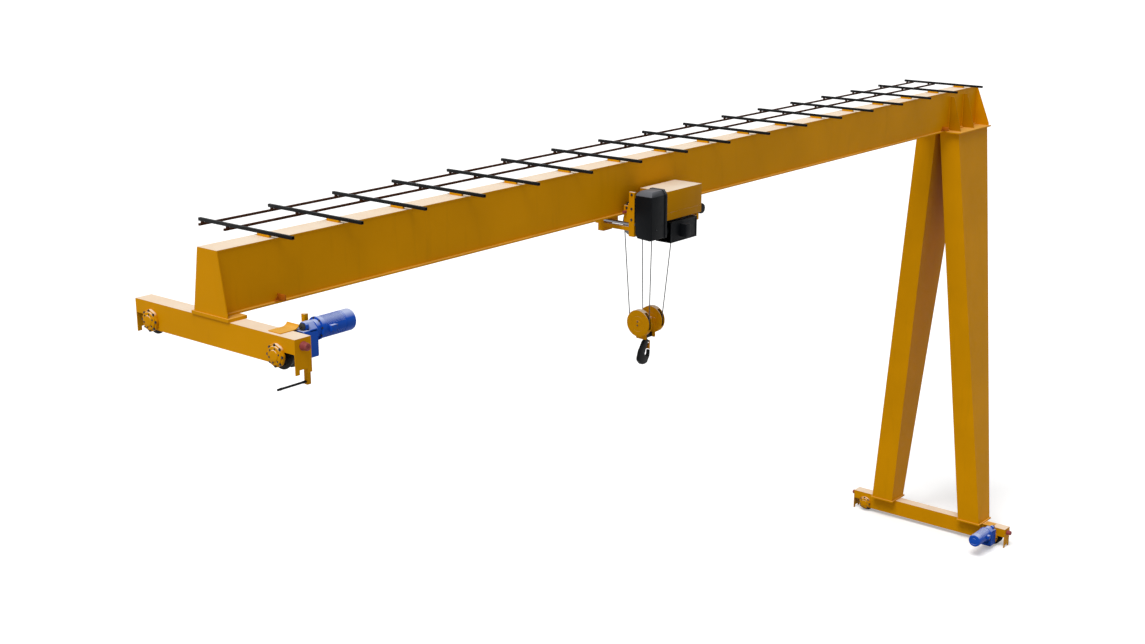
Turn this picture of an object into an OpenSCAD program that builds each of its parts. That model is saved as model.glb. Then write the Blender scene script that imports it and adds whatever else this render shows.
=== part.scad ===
// Single-girder semi-gantry crane: one end runs on a high runway rail, the other on a leg frame.
// Frame: X along the girder to the leg end, Y across, Z up. The origin is on the underside of
// the runway carriage, midway along it.

/* [Girder] */
// Distance between the two rails
span = 17075; // [9000:25:24000]
// Height of the runway rail above the ground rail
rail_rise = 7573; // [4500:1:10000]
// Height of the girder over its flange and top plate
girder_h = 711; // [450:1:1100]
// Width of the girder's top plate
top_plate_w = 322; // [280:2:420]
// Thickness of the girder's top plate
top_plate_t = 12; // [8:1:20]
// Width of the girder's bottom flange
flange_w = 380; // [380:2:420]
// Thickness of the girder's bottom flange
flange_t = 20; // [14:1:26]
// Thickness of each web
web_t = 8; // [6:1:14]
// Distance between the outer faces of the two webs
web_gap = 306; // [270:2:310]
// Thickness of the plates that close the girder's ends
end_plate_t = 12; // [8:1:20]
// Width of the runway end plate at its foot
runway_plate_foot = 554; // [480:2:600]
// Length of the girder past the ground rail
girder_overhang = 521; // [500:1:560]

/* [Saddle and cap] */
// Length of the saddle plate along the girder
saddle_l = 250; // [240:2:300]
// Width of the saddle plate across the girder
saddle_w = 610; // [600:2:700]
// Thickness of the saddle plate
saddle_t = 20; // [12:1:30]
// Thickness of the pad under the saddle plate
pad_t = 16; // [8:1:30]
// Length of the cap plate along the girder
cap_l = 1290; // [1250:2:1400]
// Width of the cap plate
cap_w = 940; // [880:2:1000]
// Thickness of the cap plate
cap_t = 20; // [12:1:30]
// Height of each gusset on the cap plate
gusset_h = 617; // [400:1:640]
// Reach of each gusset from the girder's centre at its foot
gusset_reach = 400; // [320:1:430]
// Width of a gusset at its top
gusset_top = 75; // [20:1:90]
// Thickness of a gusset
gusset_t = 12; // [8:1:20]
// Distance between the gussets along the girder
gusset_pitch = 535; // [400:5:570]

/* [Legs] */
// Width of a leg along the girder at its top
leg_top_w = 1180; // [900:5:1200]
// Width of a leg along the girder at its bottom
leg_foot_w = 470; // [400:5:600]
// Depth of a leg across the girder at its top
leg_top_d = 370; // [300:5:400]
// Depth of a leg across the girder at its bottom
leg_foot_d = 440; // [350:5:500]
// Distance of each leg's centre from the girder's centre plane at the top
leg_top_y = 225; // [215:1:250]
// Distance from the ground wheels to each leg's centre at the bottom
foot_gap = 442; // [430:1:600]
// Plate thickness of the legs
leg_t = 8; // [6:1:14]
// Thickness of the base plates
base_t = 25; // [15:1:35]
// Border of a base plate round its leg
base_border = 22; // [10:1:40]

/* [Carriages] */
// Width of both carriages
carriage_w = 216; // [204:2:260]
// Plate thickness of both carriages
carriage_t = 8; // [6:1:12]
// Length of the runway carriage
runway_l = 2640; // [2400:10:3200]
// Depth of the runway carriage
runway_depth = 308; // [290:1:340]
// Distance from each of its wheels to the end of the runway carriage
runway_inset = 275; // [255:5:400]
// Length of the ground carriage
ground_l = 3280; // [3200:10:3800]
// Depth of the ground carriage
ground_depth = 300; // [290:1:340]
// Distance from each of its wheels to the end of the ground carriage
ground_inset = 260; // [255:5:400]
// Depth of the side plates beyond the wheels
end_depth = 160; // [120:1:170]
// Depth of the wheel centres under the carriage top
axle_drop = 207; // [190:1:215]
// Thickness of the end plates that carry the buffers
buffer_plate_t = 12; // [8:1:20]
// Reach of the end plates' prongs below the rail's top
prong_drop = 32; // [20:1:40]
// Width of the notch that clears the rail head
rail_notch = 112; // [80:1:130]
// Gap between the rail head and the top of that notch
notch_gap = 16; // [8:1:24]
// Radius of the buffers
buffer_r = 43; // [30:1:60]
// Length of the buffers
buffer_l = 80; // [40:1:120]
// Depth of the buffers' centres under the carriage top
buffer_drop = 84; // [70:1:110]

/* [Travel wheels] */
// Tread radius of the travel wheels
wheel_r = 140; // [110:1:150]
// Height of the wheel flanges over the tread
wheel_flange = 25; // [10:1:26]
// Width of the tread
tread_w = 76; // [60:1:90]
// Width of each wheel flange
wheel_flange_w = 22; // [12:1:26]
// Radius of the wheel shafts
shaft_r = 32; // [25:1:45]
// Radius of the bearing caps
cap_r = 125; // [110:1:130]
// Height of the bearing caps off the carriage
cap_h = 46; // [30:1:60]
// Height of the round cover on a bearing cap
cover_h = 10; // [5:1:20]

/* [Travel drives] */
// Radius of the drive gearboxes' ends
gearbox_r = 100; // [80:1:115]
// Distance between the wheel shaft and the motor
motor_offset = 168; // [140:1:190]
// Thickness of the gearboxes
gearbox_t = 198; // [150:1:240]
// Radius of the drive motors
motor_r = 118; // [90:1:125]
// Length of the drive motors
motor_l = 460; // [400:1:640]
// Length of the neck between gearbox and motor
neck_l = 70; // [40:1:90]
// Width of the torque plates
torque_w = 190; // [140:1:200]
// Thickness of the torque plates
torque_t = 10; // [6:1:16]

/* [Collector] */
// Side of the collector post's square tube
post_side = 50; // [40:1:60]
// Length of the collector post
post_l = 770; // [600:5:900]
// Distance of the post from the carriage centre along the girder
post_x = 418; // [400:1:460]
// Distance from the driven wheel to the post, towards the crane's centre plane
post_gap = 164; // [160:1:400]
// Length of the collector rod
rod_l = 388; // [200:4:400]
// Radius of the collector rod
rod_r = 15; // [10:1:20]

/* [Festoon] */
// Side of the festoon cross bars
bar_side = 37; // [30:1:60]
// Length of the festoon cross bars
bar_l = 1578; // [1400:2:1700]
// Reach of the cross bars on the front side of the girder
bar_front = 472; // [400:2:500]
// Height of the pad under each cross bar
bar_pad = 28; // [10:1:40]
// Width of the pad under each cross bar, over the girder
pad_w = 200; // [100:5:240]
// Distance from the girder's runway end to the first cross bar
bar_start = 769; // [600:1:900]
// Distance from the last cross bar to the girder's leg end
bar_end = 459; // [300:1:600]
// Relative pitches of the first four, the next seven and the last five cross bars
pitch_first = 1000; // [800:1:1200]
pitch_middle = 1058; // [800:1:1200]
pitch_last = 1014; // [800:1:1200]
// Length of the festoon rails past the first and past the last cross bar
rail_before = 50; // [30:1:200]
rail_after = 240; // [30:1:400]
// Side of the festoon rails
rail_side = 26; // [20:1:50]
// Height and length of the hangers between the rails and the cross bars
hanger_h = 20; // [5:1:40]
hanger_l = 30; // [20:1:60]
// Distance of the nearer festoon rail behind the girder's centre
rail_near = 615; // [250:1:640]
// Distance of the farther festoon rail behind the girder's centre
rail_far = 1055; // [700:1:1070]

/* [Trolley] */
// Distance from the girder's runway end to the first pair of end stops
stop_start = 790; // [700:1:1500]
// Distance from the cap plate to the other pair of end stops
stop_gap = 73; // [70:1:800]
// Distance from the runway rail to the hook at rest
hook_x = 7552; // [3000:1:12000]
// Distance from the hook to the trolley's runway end
trolley_near = 830; // [820:1:900]
// Distance from the hook to the trolley's leg end
trolley_far = 700; // [690:1:800]
// Tread radius of the trolley wheels
roller_r = 70; // [50:1:80]
// Height of the trolley wheels' flange over the tread
roller_flange = 14; // [8:1:18]
// Radius of the trolley wheels' axles
roller_axle = 15; // [12:1:20]
// Distance of each trolley wheel from its end of the trolley
roller_inset = 180; // [150:5:200]
// Distance from the centre plane to the inner face of the front end frames
frame_in = 306; // [304:1:320]
// Distance from the centre plane to the outer face of the front end frames
frame_out = 397; // [390:1:410]
// Height of the front end frames over the underside of the girder's flange
frame_rise = 334; // [280:1:360]
// Height of the leg-side end frame over the underside of the flange
far_frame_rise = 240; // [230:1:320]
// Depth of the front end frames under the flange
frame_drop = 280; // [270:1:320]
// Depth of the beam between the front end frames
side_beam_h = 70; // [50:1:100]
// Height of the wheel carriers over the underside of the flange
carrier_rise = 175; // [170:1:200]
// Depth of the wheel carriers under the flange
carrier_drop = 86; // [60:1:86]
// Depth of the rear brackets under the flange
bracket_drop = 267; // [260:1:320]
// Height, length and width of each counterweight
weight_h = 350; // [200:5:350]
weight_l = 330; // [200:5:345]
weight_w = 145; // [60:5:200]
// Plate thickness of the trolley
trolley_t = 14; // [8:1:16]
// Radius of the round bars across the trolley
tie_r = 22; // [15:1:25]

/* [Hoist] */
// Distance from the centre plane to the hoist's outer face
hoist_out = 700; // [690:1:800]
// Length of the hoist gearbox along the girder
hoist_gear_l = 340; // [300:2:344]
// Height of the hoist gearbox over the underside of the flange
gear_rise = 362; // [340:1:400]
// Depth of the hoist gearbox under the flange
gear_drop = 310; // [300:1:400]
// Length of the cabinet
cabinet_l = 819; // [600:1:900]
// Height of the cabinet's top over the underside of the flange
cabinet_rise = 331; // [325:1:360]
// Depth of the cabinet's foot under the flange
cabinet_drop = 72; // [40:1:80]
// Width of the cabinet's front
cabinet_w = 130; // [100:1:135]
// Height of the part of the cabinet that reaches over the drum
shelf_h = 106; // [60:1:108]
// Distance from the centre plane to the inner end of that part
shelf_in = 235; // [200:1:300]
// Length of the hoist motor
hoist_motor_l = 617; // [400:1:650]
// Width of the hoist motor
hoist_motor_w = 260; // [200:5:260]
// Height of the hoist motor
hoist_motor_h = 290; // [200:5:290]
// Depth of the hoist motor's underside under the flange
hoist_motor_drop = 402; // [380:1:420]
// Radius of the trolley's travel motor
small_motor_r = 75; // [60:1:78]
// Radius of the rope drum to the rope's centre
drum_r = 155; // [130:1:160]
// Distance of the drum's axis from the centre plane
drum_y = 400; // [385:1:410]
// Height of the drum's axis over the underside of the girder's flange
drum_rise = 55; // [50:1:60]
// Length of the rope drum
drum_l = 860; // [700:5:870]
// Radius of the wire rope
rope_r = 7; // [5:1:9]
// Radius of the sheaves to the rope's centre
sheave_r = 170; // [150:1:178]
// Distance between the two hook block sheaves
sheave_gap = 306; // [280:2:320]
// Height of the hook block's sheaves under the girder's flange
block_drop = 1710; // [1200:10:5200]
// Distance between the falls of rope at the upper sheave
upper_gap = 420; // [330:1:430]
// Distance from the hook to the fall of rope at the drum, along the girder
drum_fall = 350; // [300:1:360]
// Distance of the falls from the centre plane at the top
fall_y = 245; // [240:1:250]
// Radius of the covers round the hook block's sheaves
cover_r = 197; // [190:1:205]
// Width of each of those covers
cover_w = 90; // [80:2:96]
// Radius of the hook block's shaft
block_shaft = 30; // [25:1:36]

/* [Hook] */
// Inner radius of the hook's bowl
bowl_r = 46; // [40:1:50]
// Depth of the hook's section under the bowl
hook_w = 106; // [80:1:110]
// Thickness of the hook
hook_t = 50; // [40:1:56]
// Depth of the bowl's centre under the hook block's sheaves
hook_drop = 482; // [470:1:560]
// Radius of the hook's shank
shank_r = 24; // [20:1:30]

/* [Hidden] */
$fn = 48;
// Gap between faces that meet without being a fit, and the radial gap of running fits
touch = 0.3;
run_fit = 0.05;
// Overlap of plates that are welded into one piece
weld = 1;
paint = "#e0a100";
// Levels
runway_top = runway_depth;
axle_z = runway_top - axle_drop;
rail_z = axle_z - wheel_r;
girder_z = runway_top + pad_t + saddle_t;
girder_top = girder_z + girder_h;
ground_rail_z = rail_z - rail_rise;
ground_axle_z = ground_rail_z + wheel_r;
ground_top = ground_axle_z + axle_drop;
leg_foot_z = ground_top + base_t;
leg_top_z = girder_z - cap_t;
// Places across and along the girder
runway_base = runway_l - 2 * runway_inset;
ground_base = ground_l - 2 * ground_inset;
leg_foot_y = ground_base / 2 - foot_gap;
post_y = runway_base / 2 - post_gap;
inboard = carriage_w / 2;
girder_start = -inboard;
girder_end = span + girder_overhang;
saddle_start = girder_start - 15;
cap_end = girder_end + 37;
leg_end = girder_end - 4;
bar_pitches = concat([for (i = [1:4]) pitch_first], [for (i = [1:7]) pitch_middle],
    [for (i = [1:5]) pitch_last]);
function bar_x_at(i) = i == 0 ? 0 : bar_pitches[i - 1] + bar_x_at(i - 1);
first_bar = girder_start + bar_start;
bar_scale = (girder_end - bar_end - first_bar) / bar_x_at(len(bar_pitches));
// Trolley
trolley_start = hook_x - trolley_near;
trolley_end = hook_x + trolley_far;
roller_z = girder_z + flange_t + touch + roller_r;
roller_in = web_gap / 2 + 8;
roller_flange_in = flange_w / 2 + 5;
roller_flange_w = 10;
rear_plate = roller_flange_in + 18;
carrier_l = 300;
frame_t = 40;
bracket_in = 130;
bracket_l = 190;
beam_w = 60;
tie_x = trolley_start + frame_t / 2;
tie_neck = tie_r - 8;
tie_z = girder_z - 110;
beam_low = girder_z - 205;
beam_high = girder_z - 150;
// Hoist and hook block
gear_end = trolley_start + hoist_gear_l;
drum_z = girder_z + drum_rise;
drum_shaft = 35;
upper_r = upper_gap / 2;
upper_z = girder_z - upper_r - 50;
block_z = girder_z - block_drop;
block_in = (sheave_gap - cover_w) / 2;
hook_z = block_z - hook_drop;
crosshead_top = block_z - 175;
crosshead_h = 70;
crosshead_w = 90;
strap_t = 10;
strap_w = 186;
strap_drop = 250;
rope_lead = 2;

// A box between two corners
module block(low, high) { translate(low) cube(high - low); }
// A round bar along X, Y or Z from a point
module bar_x(p, r, l) { translate(p) rotate([0, 90, 0]) cylinder(r = r, h = l); }
module bar_y(p, r, l) { translate(p) rotate([-90, 0, 0]) cylinder(r = r, h = l); }
module bar_z(p, r, l) { translate(p) cylinder(r = r, h = l); }
// An outline in Y and Z, drawn out along X from x
module plate_x(x, t) {
    translate([x, 0, 0]) rotate([90, 0, 90]) linear_extrude(height = t) children();
}
// An outline in X and Z, drawn out along Y from y
module plate_y(y, t) {
    translate([0, y + t, 0]) rotate([90, 0, 0]) linear_extrude(height = t) children();
}
// A square tube that leans and tapers from one level to another, by its two outlines
module leaning_box(z0, c0, s0, z1, c1, s1) {
    foot = [for (k = [[-1, -1], [1, -1], [1, 1], [-1, 1]])
        [c0[0] + k[0] * s0[0] / 2, c0[1] + k[1] * s0[1] / 2, z0]];
    head = [for (k = [[-1, -1], [1, -1], [1, 1], [-1, 1]])
        [c1[0] + k[0] * s1[0] / 2, c1[1] + k[1] * s1[1] / 2, z1]];
    polyhedron(points = concat(foot, head), faces = [[0, 1, 2, 3], [7, 6, 5, 4],
        [0, 4, 5, 1], [1, 5, 6, 2], [2, 6, 7, 3], [3, 7, 4, 0]]);
}

// Girder
module girder_top_plate() {
    color(paint) block([girder_start + end_plate_t, -top_plate_w / 2, girder_top - top_plate_t],
        [girder_end - end_plate_t, top_plate_w / 2, girder_top]);
}
module girder_bottom_flange() {
    color(paint) block([girder_start + end_plate_t, -flange_w / 2, girder_z],
        [girder_end - end_plate_t, flange_w / 2, girder_z + flange_t]);
}
module web(side) {
    y = side * (web_gap - web_t) / 2;
    color(paint) block([girder_start + end_plate_t, y - web_t / 2, girder_z + flange_t],
        [girder_end - end_plate_t, y + web_t / 2, girder_top - top_plate_t]);
}
module girder_front_web() { web(-1); }
module girder_rear_web() { web(1); }
module runway_end_plate() {
    color(paint) plate_x(girder_start, end_plate_t) polygon([
        [-runway_plate_foot / 2, girder_z], [runway_plate_foot / 2, girder_z],
        [top_plate_w / 2, girder_top], [-top_plate_w / 2, girder_top]]);
}
module leg_end_plate() {
    foot = gusset_reach + 35;
    color(paint) plate_x(girder_end - end_plate_t, end_plate_t) polygon([
        [-foot, girder_z], [foot, girder_z], [foot, girder_z + 44],
        [top_plate_w / 2, girder_top], [-top_plate_w / 2, girder_top], [-foot, girder_z + 44]]);
}
module saddle_plate() {
    color(paint) block([saddle_start, -saddle_w / 2, girder_z - saddle_t],
        [saddle_start + saddle_l, saddle_w / 2, girder_z]);
}
module saddle_pad() {
    color(paint) block([saddle_start, -saddle_w / 2, runway_top],
        [saddle_start + saddle_l, saddle_w / 2, runway_top + pad_t]);
}
module leg_cap_plate() {
    x = cap_end - cap_l;
    color(paint) translate([0, 0, leg_top_z]) linear_extrude(height = cap_t) polygon([
        [x, -cap_w / 2 + 40], [x + 40, -cap_w / 2], [x + cap_l, -cap_w / 2],
        [x + cap_l, cap_w / 2], [x + 40, cap_w / 2], [x, cap_w / 2 - 40]]);
}
module cap_gussets() {
    web_face = web_gap / 2;
    flange_edge = flange_w / 2;
    for (i = [1, 2], side = [-1, 1]) color(paint)
        plate_x(girder_end - i * gusset_pitch - gusset_t, gusset_t) polygon([
            [side * flange_edge, girder_z], [side * gusset_reach, girder_z],
            [side * (web_face + gusset_top), girder_z + gusset_h],
            [side * web_face, girder_z + gusset_h], [side * web_face, girder_z + flange_t],
            [side * flange_edge, girder_z + flange_t]]);
}

// Legs
module leg(side) {
    foot = [span, side * leg_foot_y];
    head = [leg_end - leg_top_w / 2, side * leg_top_y];
    inner_foot = [leg_foot_w - 2 * leg_t, leg_foot_d - 2 * leg_t];
    inner_head = [leg_top_w - 2 * leg_t, leg_top_d - 2 * leg_t];
    color(paint) difference() {
        leaning_box(leg_foot_z, foot, [leg_foot_w, leg_foot_d],
            leg_top_z, head, [leg_top_w, leg_top_d]);
        leaning_box(leg_foot_z - 1, foot, inner_foot, leg_top_z + 1, head, inner_head);
    }
}
module front_leg() { leg(-1); }
module rear_leg() { leg(1); }
module leg_base_plates() {
    half = [leg_foot_w / 2 + base_border, leg_foot_d / 2 + base_border, 0];
    for (side = [-1, 1]) color(paint)
        block([span, side * leg_foot_y, ground_top] - half,
            [span, side * leg_foot_y, leg_foot_z] + half);
}
module base_gussets() {
    reach = leg_foot_w / 2 + base_border - 8;
    for (side = [-1, 1], k = [-1, 1], end = [-1, 1]) color(paint)
        plate_y(side * leg_foot_y + k * 130 - gusset_t / 2, gusset_t) polygon([
            [span + end * inboard, ground_top], [span + end * reach, ground_top],
            [span + end * inboard, ground_top - 60]]);
}

// Carriages
module carriage(x, l, base, depth, top) {
    half = l / 2 - buffer_plate_t;
    axle = top - axle_drop;
    pocket = base / 2 - wheel_r - wheel_flange - 18;
    step = base / 2 + 70;
    low = top - depth;
    inner = inboard - carriage_t + weld;
    color(paint) for (side = [-1, 1]) difference() {
        plate_x(x + side * (inboard - carriage_t / 2) - carriage_t / 2, carriage_t) polygon([
            [-half, top], [half, top], [half, top - end_depth], [step + 30, top - end_depth],
            [step, low], [-step, low], [-step - 30, top - end_depth],
            [-half, top - end_depth]]);
        for (end = [-1, 1])
            bar_x([x - carriage_w, end * base / 2, axle], shaft_r + 8, 2 * carriage_w);
    }
    color(paint) block([x - inner, -half, top - carriage_t], [x + inner, half, top]);
    color(paint) block([x - inner, -pocket, low], [x + inner, pocket, low + carriage_t]);
    for (end = [-1, 1]) color(paint)
        block([x - inner, end * pocket - carriage_t / 2, low + carriage_t - weld],
            [x + inner, end * pocket + carriage_t / 2, top - carriage_t + weld]);
}
module runway_carriage() { carriage(0, runway_l, runway_base, runway_depth, runway_top); }
module ground_carriage() {
    carriage(span, ground_l, ground_base, ground_depth, ground_top);
}
// End plate with two prongs that straddle the rail head
module sweep_outline(top, low, rail) {
    difference() {
        translate([-inboard, low]) square([carriage_w, top - low]);
        translate([-rail_notch / 2, low - 1]) square([rail_notch, rail + notch_gap - low + 1]);
    }
}
module rail_sweeps() {
    for (side = [-1, 1]) color(paint) {
        plate_y(side * (runway_l / 2 - buffer_plate_t / 2) - buffer_plate_t / 2, buffer_plate_t)
            sweep_outline(runway_top, rail_z - prong_drop, rail_z);
        translate([span, 0, 0])
            plate_y(side * (ground_l / 2 - buffer_plate_t / 2) - buffer_plate_t / 2,
                buffer_plate_t)
            sweep_outline(ground_top, ground_rail_z - prong_drop, ground_rail_z);
    }
}
module end_buffers() {
    for (end = [[0, runway_l, runway_top], [span, ground_l, ground_top]], side = [-1, 1])
        color("#8c2f2c") translate([end[0], side * end[1] / 2, end[2] - buffer_drop])
            rotate([-90 * side, 0, 0]) {
                cylinder(r = buffer_r + 5, h = 12);
                cylinder(r = buffer_r, h = buffer_l);
            }
}
// Bearing housing with its round cover, bored for the wheel shaft
module bearing_cap(x, y, z, way) {
    translate([x, y, z]) rotate([0, 90 * way, 0]) difference() {
        union() {
            cylinder(r = cap_r, h = cap_h);
            cylinder(r = cap_r - 12, h = cap_h + cover_h);
        }
        translate([0, 0, -1]) cylinder(r = shaft_r + run_fit, h = cap_h - 5);
    }
}
module bearing_caps() {
    for (side = [-1, 1], way = [-1, 1]) color(paint) {
        bearing_cap(way * inboard, side * runway_base / 2, axle_z, way);
        bearing_cap(span + way * inboard, side * ground_base / 2, ground_axle_z, way);
    }
}
// Travel wheel with its flanges, hub and shaft
module travel_wheel(x, y, z) {
    shaft = carriage_w + 2 * (cap_h - 12);
    color("#2b2d30") translate([x, y, z]) rotate([0, 90, 0]) {
        cylinder(r = wheel_r, h = tread_w + 2, center = true);
        for (side = [-1, 1]) translate([0, 0, side * (tread_w + wheel_flange_w) / 2])
            cylinder(r = wheel_r + wheel_flange, h = wheel_flange_w, center = true);
        cylinder(r = shaft_r + 25, h = carriage_w - 2 * carriage_t - 12, center = true);
        cylinder(r = shaft_r, h = shaft, center = true);
    }
}
module runway_wheel_near() { travel_wheel(0, -runway_base / 2, axle_z); }
module runway_wheel_far() { travel_wheel(0, runway_base / 2, axle_z); }
module ground_wheel_near() { travel_wheel(span, -ground_base / 2, ground_axle_z); }
module ground_wheel_far() { travel_wheel(span, ground_base / 2, ground_axle_z); }

// Travel drives: a flat gearbox on the near wheel's shaft end and a motor above it
drives = [[inboard + cap_h + cover_h, -runway_base / 2, axle_z, 1],
    [span - inboard - cap_h - cover_h, -ground_base / 2, ground_axle_z, -1]];
gearbox_step = 199;
gearbox_split = 85;
gearbox_chamfer = 70;
bush_r = 35;
bush_side = 47;
// Lower case, upper case with cut corners, and the lug with its bush, drawn with X up
module drive_gearboxes() {
    r = gearbox_r;
    top = motor_offset + r;
    corner = top - gearbox_chamfer;
    eye = top - 28;
    for (d = drives) color("#1d4fc0")
        translate([d[0], d[1], d[2]]) rotate([0, 90 * d[3], 0]) rotate([0, 0, 90 * (1 + d[3])]) {
            block([-r, -r, 0], [gearbox_step, r, gearbox_t]);
            translate([0, 0, gearbox_split]) linear_extrude(height = gearbox_t - gearbox_split)
                polygon([[0, -r], [corner, -r], [top, gearbox_chamfer - r],
                    [top, r - gearbox_chamfer], [corner, r], [0, r]]);
            translate([eye, bush_side * d[3], 50]) cylinder(r = bush_r + 10, h = 40, $fn = 8);
            translate([eye, bush_side * d[3], 12]) cylinder(r = bush_r, h = 40);
        }
}
module drive_motors() {
    for (d = drives) color("#1d4fc0")
        translate([d[0] + d[3] * gearbox_t, d[1], d[2] + motor_offset])
        rotate([0, 90 * d[3], 0]) {
            cylinder(r = motor_r - 20, h = neck_l);
            translate([0, 0, neck_l - 16]) cylinder(r = motor_r + 7, h = 16);
            translate([0, 0, neck_l]) cylinder(r = motor_r, h = motor_l);
            translate([-35, -motor_r - 38, neck_l + 75]) cube([70, 60, 80]);
        }
}
// Torque plate: flat on the carriage, then curved up beside the gearbox
module torque_outline() {
    flat = 185;
    bend = 90;
    square([flat, torque_t]);
    translate([flat, bend]) difference() {
        intersection() {
            circle(r = bend, $fn = 96);
            translate([0, -bend]) square([bend * sin(60), bend]);
        }
        circle(r = bend - torque_t, $fn = 96);
    }
}
module torque_plates() {
    start = 60;
    back = 185;
    for (d = [[-start, -runway_base / 2, runway_top, 0],
        [span + start, -ground_base / 2, ground_top, 1]])
        color(paint) translate([d[0], d[1] + back, d[2]]) mirror([d[3], 0, 0])
            rotate([90, 0, 0]) linear_extrude(height = torque_w) torque_outline();
}

// Current collector post behind the runway drive, and its rod
post_top = runway_top + 91;
module collector_post() {
    half = post_side / 2;
    wall = 5;
    arm_z = axle_z + 40;
    color(paint) {
        difference() {
            block([post_x - half, -post_y - half, post_top - post_l],
                [post_x + half, -post_y + half, post_top]);
            block([post_x - half + wall, -post_y - half + wall, post_top - post_l - 1],
                [post_x + half - wall, -post_y + half - wall, post_top - wall]);
        }
        block([inboard, -post_y - half, arm_z], [post_x - half + weld, -post_y + half,
            arm_z + post_side]);
    }
}
module collector_rod() {
    color("#26323a") bar_x([post_x - post_side / 2 - rod_l, -post_y, post_top - post_l + 33],
        rod_r, rod_l);
}

// Festoon support
module festoon_arms() {
    z = girder_top + bar_pad;
    for (i = [0:len(bar_pitches)]) {
        x = first_bar + bar_x_at(i) * bar_scale;
        color("#2c3a40") block([x - bar_side / 2, -bar_front, z],
            [x + bar_side / 2, bar_l - bar_front, z + bar_side]);
        color("#2c3a40") block([x - bar_side / 2, -pad_w / 2, girder_top],
            [x + bar_side / 2, pad_w / 2, z + weld]);
    }
}
module festoon_rails() {
    half = rail_side / 2;
    high = girder_top + bar_pad - hanger_h;
    last = first_bar + bar_x_at(len(bar_pitches)) * bar_scale;
    for (y = [rail_near, rail_far]) color("#4a2a18") {
        block([first_bar - rail_before, y - half, high - rail_side], [last + rail_after, y + half,
            high]);
        for (i = [0:len(bar_pitches)]) {
            x = first_bar + bar_x_at(i) * bar_scale;
            block([x - hanger_l / 2, y - half, high - weld], [x + hanger_l / 2, y + half,
                girder_top + bar_pad]);
        }
    }
}

// Trolley end stops: a foot on the bottom flange and an upright that meets the buffer
module trolley_end_stops() {
    z = girder_z + flange_t;
    web_face = web_gap / 2;
    for (x = [girder_start + stop_start, cap_end - cap_l - stop_gap], side = [0, 1])
        color("#a03c14") mirror([0, side, 0]) {
            block([x - 60, web_face, z], [x + 60, flange_w / 2 - 3, z + 12]);
            block([x - 10, web_face, z + 12], [x + 10, web_face + 122, z + 80]);
        }
}

// Trolley frame. What is drawn at its left end is mirrored to its right end
module both_ends() {
    children();
    translate([trolley_start + trolley_end, 0, 0]) mirror([1, 0, 0]) children();
}
module hoist_end_frames() {
    for (end = [[trolley_start, frame_rise], [trolley_end - frame_t, far_frame_rise]])
        color(paint) difference() {
            block([end[0], -frame_out, girder_z - frame_drop],
                [end[0] + frame_t, -frame_in, girder_z + end[1]]);
            bar_y([end[0] + frame_t / 2, -frame_out - 1, tie_z], tie_neck + touch, 200);
        }
    color(paint) block([trolley_end - frame_t, -drum_y - drum_shaft - 5, drum_z - 60],
        [trolley_end, -frame_out, drum_z + 60]);
}
module hoist_side_beam() {
    color(paint) block([trolley_start + frame_t, -frame_out, girder_z - frame_drop],
        [trolley_end - frame_t, -frame_in, girder_z - frame_drop + side_beam_h]);
}
module wheel_carriers() {
    x = trolley_start;
    inner = -frame_in + trolley_t;
    color(paint) both_ends() difference() {
        union() {
            block([x, -frame_in, girder_z - carrier_drop], [x + carrier_l, inner,
                girder_z + carrier_rise]);
            block([x, inner, girder_z - carrier_drop], [x + trolley_t, -roller_flange_in - 26,
                girder_z + carrier_rise - 31]);
        }
        bar_y([x + roller_inset, -frame_in - 1, roller_z], roller_axle + run_fit, 40);
    }
}
module rear_brackets() {
    x = trolley_start;
    color(paint) both_ends() difference() {
        union() {
            block([x, bracket_in, girder_z - bracket_drop], [x + bracket_l, rear_plate,
                girder_z - 14]);
            block([x, rear_plate, girder_z - bracket_drop], [x + carrier_l,
                rear_plate + trolley_t, girder_z + carrier_rise]);
            block([x, rear_plate, girder_z - 14], [x + trolley_t, frame_in - trolley_t,
                girder_z + carrier_rise - 31]);
        }
        bar_y([x + roller_inset, rear_plate - 1, roller_z], roller_axle + run_fit, 40);
        bar_y([tie_x, bracket_in - 1, tie_z], tie_neck + touch, 200);
    }
}
module cross_beams() {
    color(paint) both_ends()
        block([trolley_start, -frame_in, beam_low], [trolley_start + beam_w, bracket_in,
            beam_high]);
}
module cross_rods() {
    color("#b8bcc2") both_ends() {
        bar_y([tie_x, -frame_in, tie_z], tie_r, frame_in + bracket_in);
        bar_y([tie_x, -frame_out - 12, tie_z], tie_neck,
            frame_out + rear_plate + trolley_t + 24);
    }
}
module counterweight() {
    y = rear_plate + trolley_t;
    color(paint) both_ends()
        block([trolley_start + 120, y, girder_z + 150 - weight_h],
            [trolley_start + 120 + weight_l, y + weight_w, girder_z + 150]);
}
// Beam between the rear brackets that carries the upper sheave between two cheeks
module sheave_beam() {
    cheek = 90;
    top = girder_z - 14;
    color(paint) difference() {
        union() {
            block([trolley_start + bracket_l, bracket_in + 20, girder_z - 74],
                [trolley_end - bracket_l, rear_plate, girder_z - 34]);
            for (y = [fall_y - 37, fall_y + 27])
                block([hook_x - cheek, y, upper_z - 40], [hook_x + cheek, y + 10, top]);
            block([hook_x - cheek, rear_plate - 10, top - 12], [hook_x + cheek, fall_y + 37,
                top]);
        }
        bar_y([hook_x, fall_y - 60, upper_z], roller_axle + run_fit, 120);
    }
}
module rope_anchor() {
    x = hook_x - upper_r;
    color(paint) {
        block([x - 30, -fall_y - 30, beam_low], [x + 30, -fall_y + 30, beam_high]);
        block([trolley_start + beam_w, -fall_y - 30, beam_low], [x - 30, -fall_y + 30,
            beam_low + 30]);
    }
}
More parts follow.
